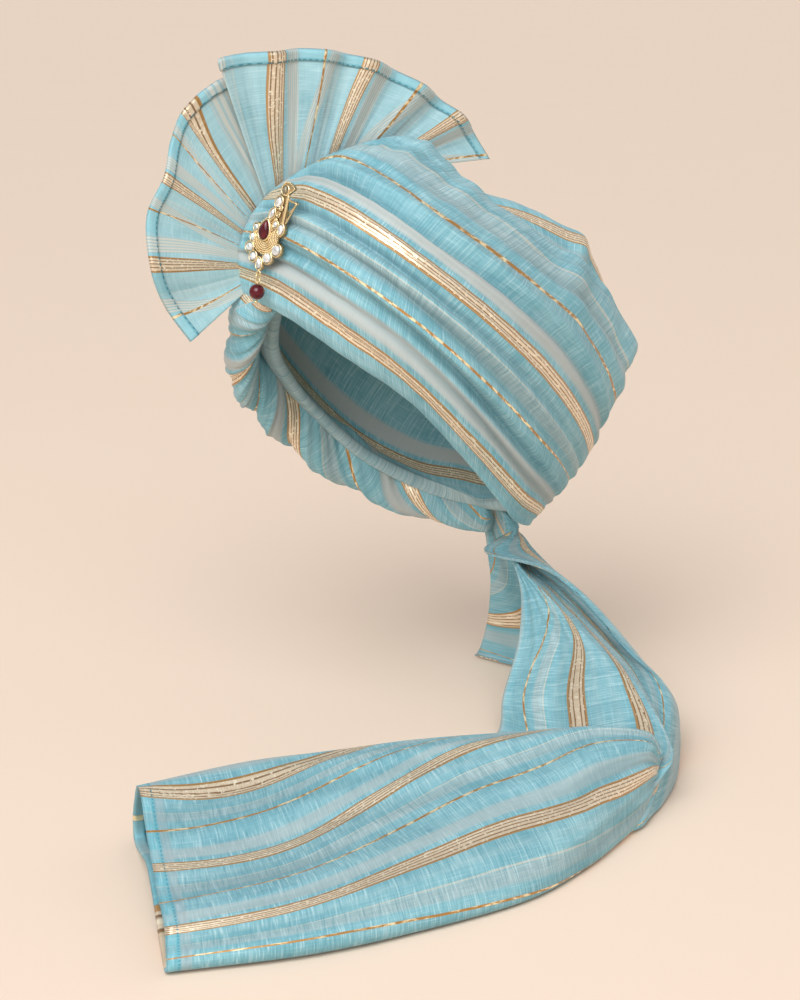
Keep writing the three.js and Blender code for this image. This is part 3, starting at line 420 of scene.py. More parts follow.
def striped_silk_cotton(name, opacity, wash, sheer, drawn, under):
    """Silk-cotton cloth woven with gold zari stripes: a soft matt ground crossed by fine paler and
    darker threads, sheer grey bands, and gold threads between brown gaps, with painted glints, bright
    and dark, standing in for their reflections. Its last four values are the shares of pale patches
    of painted light shining through the cloth, of the grey bands, of drawn threads beside the hem and
    of a second layer's stripes."""
    material, tree = empty_finish(name)
    node = partial(add, tree)
    place = node("Attribute", out=1, attribute_name="lay")
    along, across, from_hem = node("SeparateXYZ", {0: place}).node.outputs
    measure = {"fold": node("Attribute", out=2, attribute_name="fold"), "hem": from_hem}
    for what, (u_size, v_size, detail, seed) in CLOTH_NOISE.items():
        where = node("VectorMath", {0: place, 1: (1 / u_size, 1 / v_size, 0), 2: (0, 0, seed)},
                     operation="MULTIPLY_ADD")
        measure[what] = node("TexNoise", {"Vector": where, "Scale": 1.0, "Detail": detail})
    # Pale patches of painted light shining through the sheer cloth, where its broad clouds are high.
    measure["wash"] = node("MapRange", {0: measure["cloud"], 1: .25, 2: .75, 3: .55, 4: 1.1})

    line = node("Math", {0: measure["drift"], 1: STRIPE_DRIFT, 2: across}, operation="MULTIPLY_ADD")
    for what, centre in CLOTH_LINES.items():
        off = node("Math", {0: line, 1: centre + STRIPE_DRIFT / 2}, operation="SUBTRACT")
        measure[what] = node("Math", {0: off, 1: WEAVE_REPEAT / 2}, operation="PINGPONG")
    beyond = node("Math", {0: measure["gold"], 1: ZARI_WIDE / 2 - .2}, operation="GREATER_THAN")
    aside = node("Math", {0: measure["hair"], 1: ZARI_FINE / 2}, operation="GREATER_THAN")
    thread = node("Math", {0: line, 1: ZARI_THREAD / 2}, operation="PINGPONG")
    tick = node("Math", {0: along, 1: ZARI_FLOAT / 2}, operation="PINGPONG")
    for what, outside, push, inside in (
            ("zari", beyond, OFF_STRIPE, thread), ("zari_tick", beyond, -OFF_STRIPE, tick),
            ("zari_glint", beyond, -OFF_STRIPE, measure["glint"]),
            ("zari_worn", beyond, OFF_STRIPE, measure["glint"]),
            ("zari_fold", beyond, -OFF_STRIPE, measure["fold"]),
            ("hair_glint", aside, -OFF_STRIPE, measure["dash"])):
        measure[what] = node("Math", {0: outside, 1: push, 2: inside}, operation="MULTIPLY_ADD")
    edge = node("Math", {0: measure["gold"], 1: ZARI_WIDE / 2 - .45}, operation="SUBTRACT")
    measure["zari_edge"] = node("Math", {0: edge}, operation="ABSOLUTE")
    for what, (shift, slant) in UNDER_STRIPES.items():
        skew = node("Math", {0: along, 1: slant, 2: line}, operation="MULTIPLY_ADD")
        skew = node("Math", {0: skew, 1: shift + slant * FAN_REACH}, operation="SUBTRACT")
        measure[what] = node("Math", {0: skew, 1: WEAVE_REPEAT / 2}, operation="PINGPONG")
        outside = node("Math", {0: measure[what], 1: ZARI_WIDE / 2}, operation="GREATER_THAN")
        thread = node("Math", {0: skew, 1: ZARI_THREAD / 2}, operation="PINGPONG")
        measure[what + "_thread"] = node("Math", {0: outside, 1: OFF_STRIPE, 2: thread},
                                         operation="MULTIPLY_ADD")

    drawn_at = STITCH_LINE + DRAWN_WIDE / 2 + .6
    beside = node("Math", {0: from_hem, 1: drawn_at}, operation="SUBTRACT")
    measure["drawn"] = node("Math", {0: beside}, operation="ABSOLUTE")
    seam = node("Math", {0: from_hem, 1: STITCH_LINE}, operation="SUBTRACT")
    seam = node("Math", {0: seam}, operation="ABSOLUTE")
    measure["seam"] = node("Math", {0: seam, 1: 2.0}, operation="MULTIPLY")
    step = node("Math", {0: across, 1: STITCH_STEP / 2}, operation="PINGPONG")
    measure["stitch"] = node("Math", {0: measure["seam"], 1: step}, operation="MAXIMUM")

    own_tints = [
        ("sheer", 6.2, 3.2, sheer, "#b3b6b3"), ("wash", 0, 1, wash, "#bfe4eb"),
        ("drawn", DRAWN_WIDE / 2 + .8, DRAWN_WIDE / 2 - .8, drawn, "#9fadb2"),
        # Painted shade in the folds and creases, partly the deeper colour of doubled cloth.
        ("fold", 0, 1, .38, "#4b7983"),
        # The seam tint is a painted shadow of the turned-in hem along its stitches.
        ("hem", STITCH_LINE + .3, STITCH_LINE - .3, .3, "#5fb4c6"), ("seam", 3.2, 1.2, .45, "#4d9fb1"),
    ]
    own_tints += [(what, ZARI_WIDE / 2 + .8, ZARI_WIDE / 2 - .4, .5 * under, "#9fb0b2")
                  for what in UNDER_STRIPES]
    own_tints += [(what + "_thread", .75, .35, .6 * under, "#dcd5c6") for what in UNDER_STRIPES]
    colour = linear(GROUND_COLOUR)
    for what, start, full, share, shade in GROUND_TINTS + own_tints + ZARI_TINTS:
        mask = node("MapRange", {0: measure[what], 1: start, 2: full, 3: 0.0, 4: share},
                    interpolation_type="SMOOTHSTEP")
        colour = node("Mix", {0: mask, 6: colour, 7: linear(shade)}, out=2, data_type="RGBA")

    band = node("MapRange", {0: measure["gold"], 1: ZARI_WIDE / 2 + .2, 2: ZARI_WIDE / 2 - .3})
    hair = node("MapRange", {0: measure["hair"], 1: ZARI_FINE / 2 + .2, 2: ZARI_FINE / 2 - .2})
    metal = node("Math", {0: band, 1: hair}, operation="MAXIMUM")
    relief = 0.0
    for what, height in CLOTH_RELIEF:
        low_part = node("Math", {0: measure[what], 1: RELIEF_CAP}, operation="MINIMUM")
        relief = node("Math", {0: low_part, 1: height, 2: relief}, operation="MULTIPLY_ADD")
    bump = node("Bump", {"Height": relief, "Strength": .5, "Distance": .3 * MM})
    shader = node("BsdfPrincipled", {
        "Base Color": colour, "Normal": bump, "Alpha": opacity,
        "Metallic": node("Math", {0: metal, 1: .5}, operation="MULTIPLY"),
        "Roughness": node("MapRange", {0: metal, 3: .8, 4: .44}),
        "Sheen Weight": .15, "Sheen Roughness": .45, "Specular IOR Level": .25})
    node("OutputMaterial", {0: shader})
    return material


GILT_BEATEN, GILT_WORN = 1.6, 5.0  # sizes of the hammered hollows and of the worn patches
GILT_BRIGHT, GILT_SHADED = 2.4, 1.75  # heights on the brooch between which painted shade turns the plate brown


def gilt_brass(name):
    """Hand-worked brass under pale gold plate, with painted shade that turns its low parts brown while
    its high parts stay bright, and a soft beaten unevenness."""
    material, tree = empty_finish(name)
    node = partial(add, tree)
    place = node("TexCoord", out=3)
    height = node("SeparateXYZ", {0: node("Attribute", out=1, attribute_name="lay")}, out=2)
    beaten = node("TexNoise", {"Vector": place, "Scale": 1 / (GILT_BEATEN * MM), "Detail": 3.0})
    worn = node("TexNoise", {"Vector": place, "Scale": 1 / (GILT_WORN * MM), "Detail": 2.0})
    tone = node("Mix", {0: worn, 6: linear("#dfc083"), 7: linear("#fdefcc")}, out=2, data_type="RGBA")
    # Painted shade: the plate turns brown towards its low parts.
    low = node("MapRange", {0: height, 1: GILT_BRIGHT, 2: GILT_SHADED, 3: 0.0, 4: .65})
    tone = node("Mix", {0: low, 6: tone, 7: linear("#6f5126")}, out=2, data_type="RGBA")
    rough = node("MapRange", {0: beaten, 1: .3, 2: .7, 3: .16, 4: .36})
    bump = node("Bump", {"Height": beaten, "Strength": .35, "Distance": .15 * MM})
    shader = node("BsdfPrincipled", {
        "Base Color": tone, "Metallic": .85, "Roughness": rough, "Normal": bump})
    node("OutputMaterial", {0: shader})
    return material


def foiled_glass(name, deep, bright, size, foil, gloss):
    """Glass over foil: a smooth hard gloss, with the foil behind it showing as soft paler and deeper
    patches of a size in millimetres. Foil is the share of metal and gloss that of the polish."""
    material, tree = empty_finish(name)
    node = partial(add, tree)
    place = node("TexCoord", out=3)
    crinkle = node("TexNoise", {"Vector": place, "Scale": 1 / (size * MM), "Detail": 1.0})
    patch = node("MapRange", {0: crinkle, 1: .36, 2: .64})
    tone = node("Mix", {0: patch, 6: linear(deep), 7: linear(bright)}, out=2, data_type="RGBA")
    shader = node("BsdfPrincipled", {
        "Base Color": tone, "Metallic": foil, "Roughness": .1, "IOR": 1.5, "Specular IOR Level": gloss,
        "Coat Weight": gloss, "Coat Roughness": .03})
    node("OutputMaterial", {0: shader})
    return material


cloth = striped_silk_cotton("silk_cotton_zari_stripe", 1.0, 0.0, .85, 0.0, 0.0)
fan_cloth = striped_silk_cotton("silk_cotton_zari_stripe_sheer", .88, .5, .5, 0.0, 1.0)
tail_finish = striped_silk_cotton("silk_cotton_zari_stripe_drawn", 1.0, 0.0, .5, .5, 0.0)
gold = gilt_brass("gilt_brass")
ruby_glass = foiled_glass("ruby_glass_foiled", "#3f0211", "#67081b", 7, 0.0, .3)
clear_glass = foiled_glass("clear_glass_foiled", "#c3cbce", "#ffffff", 2.6, .55, .5)
smoke_glass = foiled_glass("smoke_glass_foiled", "#4a4433", "#a49b80", 1.6, .5, .5)


# Cloth pieces.

def ripples(along, across, waves):
    """Small folds: a sum of sine waves, each with counts across and along, a phase and a height,
    whose height swells and fades along the cloth and whose line bends a little."""
    total = 0
    for across_count, along_count, phase, height in waves:
        swell = .6 + .4 * np.sin(2 * np.pi * (1.3 * along + .7 * across) + 5 * phase)
        bend = .35 * np.sin(2 * np.pi * (.9 * along + .4 * across) + 3 * phase)
        total = total + height * swell * np.sin(
            2 * np.pi * (across_count * across + along_count * along) + phase + bend)
    return total


SWATH_WAVES = [(5.3, .6, 2.0, 1.2), (9.2, -.8, .4, .9), (15, 1.5, 1.7, .5), (29, -2.3, 2.9, .25),
               (6, 17, 1.1, .18), (-4, 23, 3.0, .12)]
EDGE_WAVES = [(1.2, 5.3, .8, 2.2), (2.3, 8.7, 2.2, 1.5), (3.1, 13.1, .4, .8)]
EDGE_FROM, EDGE_OVER = .72, .2  # width share where the upper edge's waves begin, and grow over
PLEAT_RISE, PLEAT_SINK, PLEAT_WIDE = 2.4, 1.8, .09
HUMP_RISE, HUMP_FALL = .45, .75
CREASE_HALF, FOLD_FULL = .009, 5
WRAP_WALL, WRAP_EDGE = 8.0, 2.5
EDGE_POINTS = 5


def pleats(along, across, creases, folds):
    """Height of a swath's face, and its share of painted shade: between two creases a lopsided hump,
    the product of a power of the way from the one and a power of the way to the other, with bell
    curves for the deeper folds and small sine waves over both. The painted shade darkens the deep
    fold valleys and the creases, partly the deeper colour of cloth lying doubled there."""
    t = along[:, 0]
    lines = bow_weights(3, t) @ creases.T
    index = np.clip((across[..., None] >= lines[:, None, 1:-1]).sum(-1), 0, len(creases) - 2)
    low = np.take_along_axis(lines, index, 1)
    wide = np.take_along_axis(lines, index + 1, 1) - low
    x = np.clip((across - low) / wide, 0, 1)
    peak = HUMP_RISE / (HUMP_RISE + HUMP_FALL)
    hump = (x ** HUMP_RISE * (1 - x) ** HUMP_FALL) / (peak ** HUMP_RISE * (1 - peak) ** HUMP_FALL)
    # Gathered most at the front seam, uneven from pleat to pleat, flat on the seam, calm at the nape.
    gather = .35 + .4 * np.clip((.75 - along) / .3, 0, 1) + .5 * np.exp(-(along / .16) ** 2)
    uneven = 1 + .4 * np.sin(2 * np.pi * (1.1 * along + .37 * index) + 2.1 * index)
    eased = np.clip(along / .05, 0, 1) ** .7
    calm = 1 - .75 * np.clip((along - .5) / .35, 0, 1)
    lift = PLEAT_RISE * gather * np.minimum(1, wide / PLEAT_WIDE) * uneven * hump - PLEAT_SINK
    fold_at = (bow_weights(3, t) @ folds[:, :3].T)[:, None]
    swell = 1 + .35 * np.sin(2 * np.pi * 1.7 * along[..., None] + 9 * folds[:, 0])
    bells = (folds[:, 4] * swell * np.exp(-((across[..., None] - fold_at) / folds[:, 3]) ** 2)).sum(-1)
    lift = (lift + bells + ripples(along, across, SWATH_WAVES)) * eased * calm
    lift = lift + ripples(along, across, EDGE_WAVES) * np.clip((across - EDGE_FROM) / EDGE_OVER, 0, 1)
    crease = (np.exp(-((across - low) / CREASE_HALF) ** 2)
              + np.exp(-((low + wide - across) / CREASE_HALF) ** 2))
    # Painted shade in the deep fold valleys and along the creases.
    fold_shade = (np.clip(-bells / FOLD_FULL, 0, 1) * eased * calm
               + .38 * crease * uneven * gather * calm)
    return lift, fold_shade


def rolled_edge(start, end, beyond):
    """Half an ellipse of points from one face of a wall to the other, bowed away from the wall."""
    turn = np.linspace(0, np.pi, EDGE_POINTS + 2)[1:-1][None, :, None]
    middle, reach = (start + end) / 2, (start - end) / 2
    away = unit(start - beyond) * WRAP_EDGE
    return middle[:, None] + reach[:, None] * np.cos(turn) + away[:, None] * np.sin(turn)


def swath(sections, creases, folds, stripes, rows, columns, outward):
    """A pleated swath: cubics along and a polynomial across, lifted by its pleats along the normal,
    with a plain inner wall and rolled edges as one ring that is closed at both ends."""
    t, w = np.linspace(0, 1, rows), np.linspace(0, 1, columns)
    flat = np.einsum("wk,tkc->twc", bow_weights(sections.shape[1], w), smooth_rows(sections, t))
    normal = facing(flat) * outward
    along, across = np.meshgrid(t, w, indexing="ij")
    lift, fold_shade = pleats(along, across, creases, folds)
    outer = flat + normal * lift[..., None]
    inner = flat - normal * (PLEAT_SINK + WRAP_WALL)
    ring = np.concatenate([
        outer, rolled_edge(outer[:, -1], inner[:, -1], outer[:, -4]),
        inner[:, ::-1], rolled_edge(inner[:, 0], outer[:, 0], inner[:, 3])], axis=1)
    mirror = (2 * columns + EDGE_POINTS - 1 - np.arange(ring.shape[1])) % ring.shape[1]
    ends = [(ring[k] + ring[k][mirror]) / 2 for k in (0, -1)]
    ring = np.concatenate([ends[:1], ring, ends[1:]])

    v = weave_lines(stripes, along, across)
    v = np.concatenate([v, np.repeat(v[:, -1:], EDGE_POINTS, 1), v[:, ::-1],
                        np.repeat(v[:, :1], EDGE_POINTS, 1)], axis=1)
    v = np.concatenate([v[:1], v, v[-1:]])
    long = np.linalg.norm(np.diff(flat[:, columns // 2], axis=0), axis=1).sum()
    u = np.broadcast_to(np.concatenate([[0], t, [1]])[:, None] * long, v.shape)
    fold_shade = np.concatenate([fold_shade, np.zeros((rows, columns + 2 * EDGE_POINTS))], axis=1)
    fold_shade = np.clip(np.concatenate([fold_shade[:1], fold_shade, fold_shade[-1:]]), 0, 1)
    coords = np.stack([u, v, np.full_like(v, NO_HEM), fold_shade], axis=-1)
    faces = quads(*ring.shape[:2], ring=True)
    return ring.reshape(-1, 3), faces if outward > 0 else faces[:, ::-1], coords.reshape(-1, 4)


points, faces, coords = swath(LEFT_SECTIONS, LEFT_CREASES, LEFT_FOLDS, LEFT_STRIPES, 170, 210, 1)
left_swath = piece("left_swath", points, faces, cloth, ["left_wrap"], coords)
points, faces, coords = swath(RIGHT_SECTIONS, RIGHT_CREASES, RIGHT_FOLDS, RIGHT_STRIPES, 170, 210, -1)
right_swath = piece("right_swath", points, faces, cloth, ["right_wrap"], coords)


TWIST_TURNS, TWIST_RIDGE, TWIST_END = 3.4, .16, .006
TWIST_CREASES = [(7, 3, .035), (11, -9, .025)]  # count round the roll, lean along it, height
ROLL_LONG, ROLL_WEAVE, ROLL_START, ROLL_WANDER = 330, 31, 14, 6  # cloth length, weave to a half turn


def brow_roll(rows, sides):
    """A twisted roll: an ellipse carried along the rim, swollen by two ridges that wind round it and
    by finer creases that wind with them, and drawn in to a point at both ends."""
    t, angle = np.linspace(0, 1, rows), np.linspace(0, 2 * np.pi, sides, endpoint=False)
    path = smooth_rows(TWIST_SECTIONS[:, :3], t)
    half = np.stack([np.interp(t, np.linspace(0, 1, len(TWIST_SECTIONS)), TWIST_SECTIONS[:, k])
                     for k in (3, 4)], axis=-1)
    ahead = unit(np.gradient(path, axis=0))
    out = unit(path * (1, 1, 0))
    out = unit(out - (out * ahead).sum(-1, keepdims=True) * ahead)
    up = np.cross(ahead, out)
    along, around = np.meshgrid(t, angle, indexing="ij")
    winding = around - 2 * np.pi * TWIST_TURNS * along
    ridge = 1 + TWIST_RIDGE * (2 * np.abs(np.cos(winding)) - 1)
    ridge = ridge + sum(height * np.sin(count * winding + lean * along)
                        for count, lean, height in TWIST_CREASES)
    ridge = ridge * np.clip(np.minimum(along, 1 - along) / TWIST_END, 0, 1) ** .5
    points = (path[:, None] + out[:, None] * (half[:, None, 1:] * (ridge * np.cos(around))[..., None])
              + up[:, None] * (half[:, None, :1] * (ridge * np.sin(around))[..., None]))
    v = ROLL_WEAVE * winding / np.pi + ROLL_START
    u = along * ROLL_LONG + ROLL_WANDER * np.cos(around)
    coords = np.stack([u, v, np.full_like(v, NO_HEM)], axis=-1)
    return points.reshape(-1, 3), quads(rows, sides, ring=True)[:, ::-1], coords.reshape(-1, 3)


points, faces, coords = brow_roll(300, 72)
brow = piece("brow_roll", points, faces, cloth, ["brow_twist"], coords)


HEM_TURN = 7.0  # cloth turned back at a hem
HEM_STEP, HEM_ROUND = .9, 1.5  # it lies this far from the face, and leaves it over this length
SHEET_THICK = .7


def fan_sheet(rows, columns, turned):
    """Ribs from root to hem with the folds opening as a power of the reach, small radial creases,
    and the last strip turned back on itself for the hem."""
    t = np.linspace(0, 1, rows)
    folds = smooth_rows(FAN_FOLDS, t)
    reach = np.linspace(0, 1, columns)
    along, out = np.meshgrid(t, reach, indexing="ij")
    root, hem = folds[:, None, 0], folds[:, None, 1]
    grid = root + (hem - root) * out[..., None]
    pleat = FAN_DEPTH * (hem[..., 0] - FAN_PLANE_X) * out ** FAN_OPENING
    grid[..., 0] = root[..., 0] + (FAN_PLANE_X - root[..., 0]) * out + pleat
    crease = sum(height * np.sin(2 * np.pi * count * along + phase)
                 for count, phase, height in FAN_CREASES)
    grid[..., 0] += crease * out * (1.2 - out)
    rib = np.linalg.norm(folds[:, 1] - folds[:, 0], axis=1)
    inward = unit(grid[:, -2] - grid[:, -1])
    normal = facing(grid)[:, -1]
    side = normal * np.sign(normal[:, :1] + 1e-9)
    back = np.linspace(0, HEM_TURN, turned)[1:]
    strip = (grid[:, -1:] + inward[:, None] * back[None, :, None]
             + side[:, None] * (HEM_STEP * np.minimum(1, back / HEM_ROUND))[None, :, None])
    hem_off = (1 - out) * rib[:, None]
    count, phase, height = FAN_SWAY
    sway = height * np.sin(np.pi * out) * np.sin(2 * np.pi * count * along + phase)
    v = weave_lines(FAN_STRIPES, along, along) + sway
    coords = np.stack([out * FAN_REACH, v, hem_off], axis=-1)
    turned_coords = np.repeat(coords[:, -1:], turned - 1, axis=1)
    turned_coords[..., 0] -= back
    turned_coords[..., 2] = back
    grid = np.concatenate([grid, strip], axis=1)
    coords = np.concatenate([coords, turned_coords], axis=1)
    return grid.reshape(-1, 3), quads(*grid.shape[:2]), coords.reshape(-1, 3)


def walled(thing, thick, offset):
    """Gives a sheet its thickness: half to each side at offset 0, all behind its face at -1."""
    wall = thing.modifiers.new("cloth_thickness", "SOLIDIFY")
    wall.thickness = thick * MM
    wall.offset = offset


points, faces, coords = fan_sheet(420, 42, 6)
fan = piece("fan_sheet", points, faces, fan_cloth, ["fan"], coords)
walled(fan, SHEET_THICK, 0)


FALL_WAVES = [(8, .6, .3, .8), (17, 1.4, 2.2, .45), (31, -1.1, 4.4, .22)]
RUN_WAVES = [(7, .8, .9, .9), (13, -1.2, 2.6, .5), (29, 1.7, 4.8, .25)]
FALL_LONG, RUN_LONG = 230, 325
# Painted shade on the tail, partly the deeper colour of doubled cloth: base shares, and crease depth.
FALL_FOLD_SHADE, RUN_FOLD_SHADE, CREASE_FOLD_SHADE = .3, .35, .5
BACK_FROM, BACK_STILL, BACK_BEND = .74, .3, 150  # the stripes' bend on the fall's back
MOUTH_FROM, MOUTH_RISE = .8, 17  # the run's under side lifts towards its open end
RUN_PUFF, CREASE_CLEAR, CREASE_OVER = 1.2, 4, 10


def fall_sheet(rows, columns):
    """The fall: cubics down its length and across its columns, and small creases that fade towards
    the floor. Its stripes bend on the back as the square of the way to the back edge."""
    t, s = np.linspace(FALL_PLACES[0], 1, rows), np.linspace(0, 1, columns)
    step = np.interp(t, FALL_PLACES, np.linspace(0, 1, len(FALL_PLACES)))
    rails = smooth_rows(FALL_SECTIONS, step)
    grid = np.swapaxes(smooth_rows(np.swapaxes(rails, 0, 1), s), 0, 1)
    along, across = np.meshgrid(t, s, indexing="ij")
    crease = ripples(along, across, FALL_WAVES)
    fade = np.clip(along / .2, 0, 1) * (1 - np.clip(along, 0, 1) ** 3)
    grid = grid + facing(grid) * (crease * fade)[..., None]
    grid[..., 2] = np.maximum(grid[..., 2], FLOOR_Z + CLOTH_REST)
    v = weave_lines(FALL_STRIPES, along, across, 0, 1)
    v = v + BACK_BEND * (along - BACK_STILL) * np.clip((across - BACK_FROM) / (1 - BACK_FROM), 0, 1) ** 2
    fold_shade = np.clip(FALL_FOLD_SHADE - CREASE_FOLD_SHADE * crease, 0, 1)
    coords = np.stack([along * FALL_LONG, v, np.full_like(v, NO_HEM), fold_shade], axis=-1)
    return grid.reshape(-1, 3), quads(rows, columns), coords.reshape(-1, 4)


def run_sleeve(rows, sides, turned):
    """The run: a flattened sleeve of cubics along and round, with long soft creases that die out near
    the floor, drawn together at its bend, its under side lifted towards its open end by a smooth step,
    and its last strip turned in for the hem."""
    t, s = np.linspace(0, 1, rows), np.arange(sides) / sides
    rails = smooth_rows(RUN_SECTIONS, t)
    under = (rails[:, :1] + rails[:, -1:]) / 2
    rise = np.clip((t - MOUTH_FROM) / (1 - MOUTH_FROM), 0, 1)[:, None]
    under[..., 2] = FLOOR_Z + CLOTH_REST + MOUTH_RISE * rise * rise * (3 - 2 * rise)
    rails = np.concatenate([rails, under], axis=1)
    grid = np.swapaxes(smooth_ring(np.swapaxes(rails, 0, 1), s), 0, 1)
    grid[..., 2] = np.maximum(grid[..., 2], FLOOR_Z + CLOTH_REST)
    along, around = np.meshgrid(t, s, indexing="ij")
    outward = -facing(grid, ring=True)
    crease = ripples(along, around, RUN_WAVES)
    clear = np.clip(grid[..., 2] - FLOOR_Z - CREASE_CLEAR, 0, CREASE_OVER) / CREASE_OVER
    grid = grid + outward * (RUN_PUFF + crease * clear)[..., None]
    grid[..., 2] = np.maximum(grid[..., 2], FLOOR_Z + SHEET_REST)
    back = np.linspace(0, HEM_TURN, turned)[1:]
    inward = unit(grid[-4] - grid[-1])
    strip = (grid[-1][None] + inward[None] * back[:, None, None]
             - outward[-1][None] * (HEM_STEP * np.minimum(1, back / HEM_ROUND))[:, None, None])
    long = np.linalg.norm(np.diff(grid, axis=0), axis=-1)
    hem_off = np.concatenate([np.cumsum(long[::-1], axis=0)[::-1], np.zeros((1, sides))])
    v = weave_lines(RUN_STRIPES, along, around, 0, 1)
    fold_shade = np.clip(RUN_FOLD_SHADE - CREASE_FOLD_SHADE * crease, 0, 1)
    coords = np.stack([along * RUN_LONG, v, hem_off, fold_shade], axis=-1)
    turned_coords = np.repeat(coords[-1:], turned - 1, axis=0)
    turned_coords[..., 2] = back[:, None]
    pinch = np.broadcast_to(grid[0].mean(axis=0), (1, sides, 3))
    grid = np.concatenate([pinch, grid, strip])
    coords = np.concatenate([coords[:1], coords, turned_coords])
    return grid.reshape(-1, 3), quads(*grid.shape[:2], ring=True)[:, ::-1], coords.reshape(-1, 4)


fall_points, fall_faces, fall_coords = fall_sheet(110, 170)
run_points, run_faces, run_coords = run_sleeve(120, 180, 6)
points, faces = joined([(fall_points, fall_faces), (run_points, run_faces)])
tail = piece("tail_cloth", points, faces, tail_finish, ["tail"],
             np.concatenate([fall_coords, run_coords]))
walled(tail, SHEET_THICK, -1)


# Brooch and its drop.

across_axis = np.array((np.cos(BROOCH_AZIMUTH), np.sin(BROOCH_AZIMUTH), 0))
out_axis = np.array((np.sin(BROOCH_AZIMUTH) * np.cos(BROOCH_ELEVATION),
                     -np.cos(BROOCH_AZIMUTH) * np.cos(BROOCH_ELEVATION), np.sin(BROOCH_ELEVATION)))
BROOCH_AXES = np.stack([across_axis, np.cross(out_axis, across_axis), out_axis])


def on_brooch(shape):
    """From the brooch's own across, up and out to the turban's frame: times its axes, plus its place."""
    points, faces = shape
    return points @ BROOCH_AXES + BROOCH_AT, faces


def stone_outline(stone, margin, count):
    """Points round a stone: an ellipse whose width is kept in full, narrowed to both points for a
    marquise, or to one for a pear, grown by a margin, turned and moved to its place."""
    cut, at, size, turn = stone
    angle = np.linspace(0, 2 * np.pi, count, endpoint=False)
    keep = {"oval": np.ones(count), "marquise": np.abs(np.cos(angle)) ** .5,
            "pear": 1 - .6 * ((1 + np.sin(angle)) / 2) ** 2.2}[cut]
    x = (size[0] / 2 * keep + margin) * np.cos(angle)
    y = (size[1] / 2 + margin) * np.sin(angle)
    c, s = np.cos(np.radians(turn)), np.sin(np.radians(turn))
    return np.stack([x * c - y * s, x * s + y * c], axis=-1) + at


def capped(rings):
    """Rings of points closed at both ends on their middles."""
    rings = np.asarray(rings)
    ends = [np.broadcast_to(rings[k].mean(axis=0), (1, *rings.shape[1:])) for k in (0, -1)]
    grid = np.concatenate([ends[0], rings, ends[1]])
    return grid.reshape(-1, 3), quads(*grid.shape[:2], ring=True)[:, ::-1]


def at_height(outline, height):
    """A flat outline's points, all at one height."""
    return np.concatenate([outline, np.full((len(outline), 1), height)], axis=1)


def bezel(stone, top, count=40):
    """A bezel: a closed profile carried round the stone's outline, thick at its foot and rolled over
    at its lip."""
    profile = [(0, PLATE_THICK), (0, top - .25), (.15, top), (.5, top + .05), (.85, top - .3),
               (.95, .5), (1.1, PLATE_FOOT), (0, PLATE_FOOT)]
    grid = np.stack([at_height(stone_outline(stone, STONE_GAP + out, count), height)
                     for out, height in profile], axis=1)
    return grid.reshape(-1, 3), quads(*grid.shape[:2], both=True)


def plate(outline, low, high):
    """A flat plate: its outline, drawn in towards its middle as it nears the top."""
    middle = outline.mean(axis=0)
    steps = [(1, low), (1, high - .35), (.97, high - .1), (.9, high)]
    return capped([at_height(middle + (outline - middle) * k, h) for k, h in steps])


def rounded(corners, count):
    """A closed outline: the ring of cubics through the corners, at even steps."""
    return smooth_ring(corners, np.arange(count) / count)


def granules(places, radius):
    """Small gold grains: spheres of a few faces at the listed places."""
    around, down = np.meshgrid(np.linspace(0, 2 * np.pi, 8, endpoint=False),
                               np.linspace(0, np.pi, 5), indexing="ij")
    ball = np.stack([np.sin(down) * np.cos(around), np.sin(down) * np.sin(around), np.cos(down)], -1)
    ball = np.swapaxes(ball, 0, 1)
    shape = quads(*ball.shape[:2], ring=True)
    points = np.asarray(places)[:, None] + ball.reshape(-1, 3) * radius
    faces = shape[None] + (np.arange(len(places)) * len(points[0]))[:, None, None]
    return points.reshape(-1, 3), faces.reshape(-1, 4)


def wire(path, radius, sides=10, closed=False):
    """A round wire: a circle carried along a path in the frame of its own direction."""
    path = np.asarray(path, float)
    ahead = np.roll(path, -1, 0) - np.roll(path, 1, 0) if closed else np.gradient(path, axis=0)
    ahead = unit(ahead)
    side = unit(np.cross(ahead, np.array((.31, .2, .93))))
    up = np.cross(ahead, side)
    angle = np.linspace(0, 2 * np.pi, sides, endpoint=False)[None, :, None]
    radius = np.broadcast_to(radius, len(path))[:, None, None]
    grid = path[:, None] + radius * (np.cos(angle) * side[:, None] + np.sin(angle) * up[:, None])
    if closed:
        return grid.reshape(-1, 3), quads(*grid.shape[:2], both=True)[:, ::-1]
    return capped(grid)


def hoop(middle, radius, thick, first, second, count=28):
    """A ring of wire: cosine along one direction and sine along another."""
    angle = np.linspace(0, 2 * np.pi, count, endpoint=False)[:, None]
    path = np.asarray(middle) + radius * (np.cos(angle) * first + np.sin(angle) * second)
    return wire(path, thick, closed=True)


X, Y, Z = np.eye(3)


def crescent(angle, share=1):
    """Points of the crescent's ellipse at the given angles, drawn in to a share of its radii."""
    return CRESCENT_AT + CRESCENT_RADII * share * np.stack([np.cos(angle), np.sin(angle)], -1)


def scroll(at, size, start, count=36):
    """A flat spiral of wire: its radius shrinks evenly while it turns."""
    turn = np.linspace(0, 3.3 * np.pi, count) + start
    curl = size * (1 - .8 * np.linspace(0, 1, count))
    path = np.stack([at[0] + curl * np.cos(turn), at[1] + curl * np.sin(turn)], axis=-1)
    return wire(at_height(path, GRAIN_HEIGHT), SCROLL_RADIUS, 8)


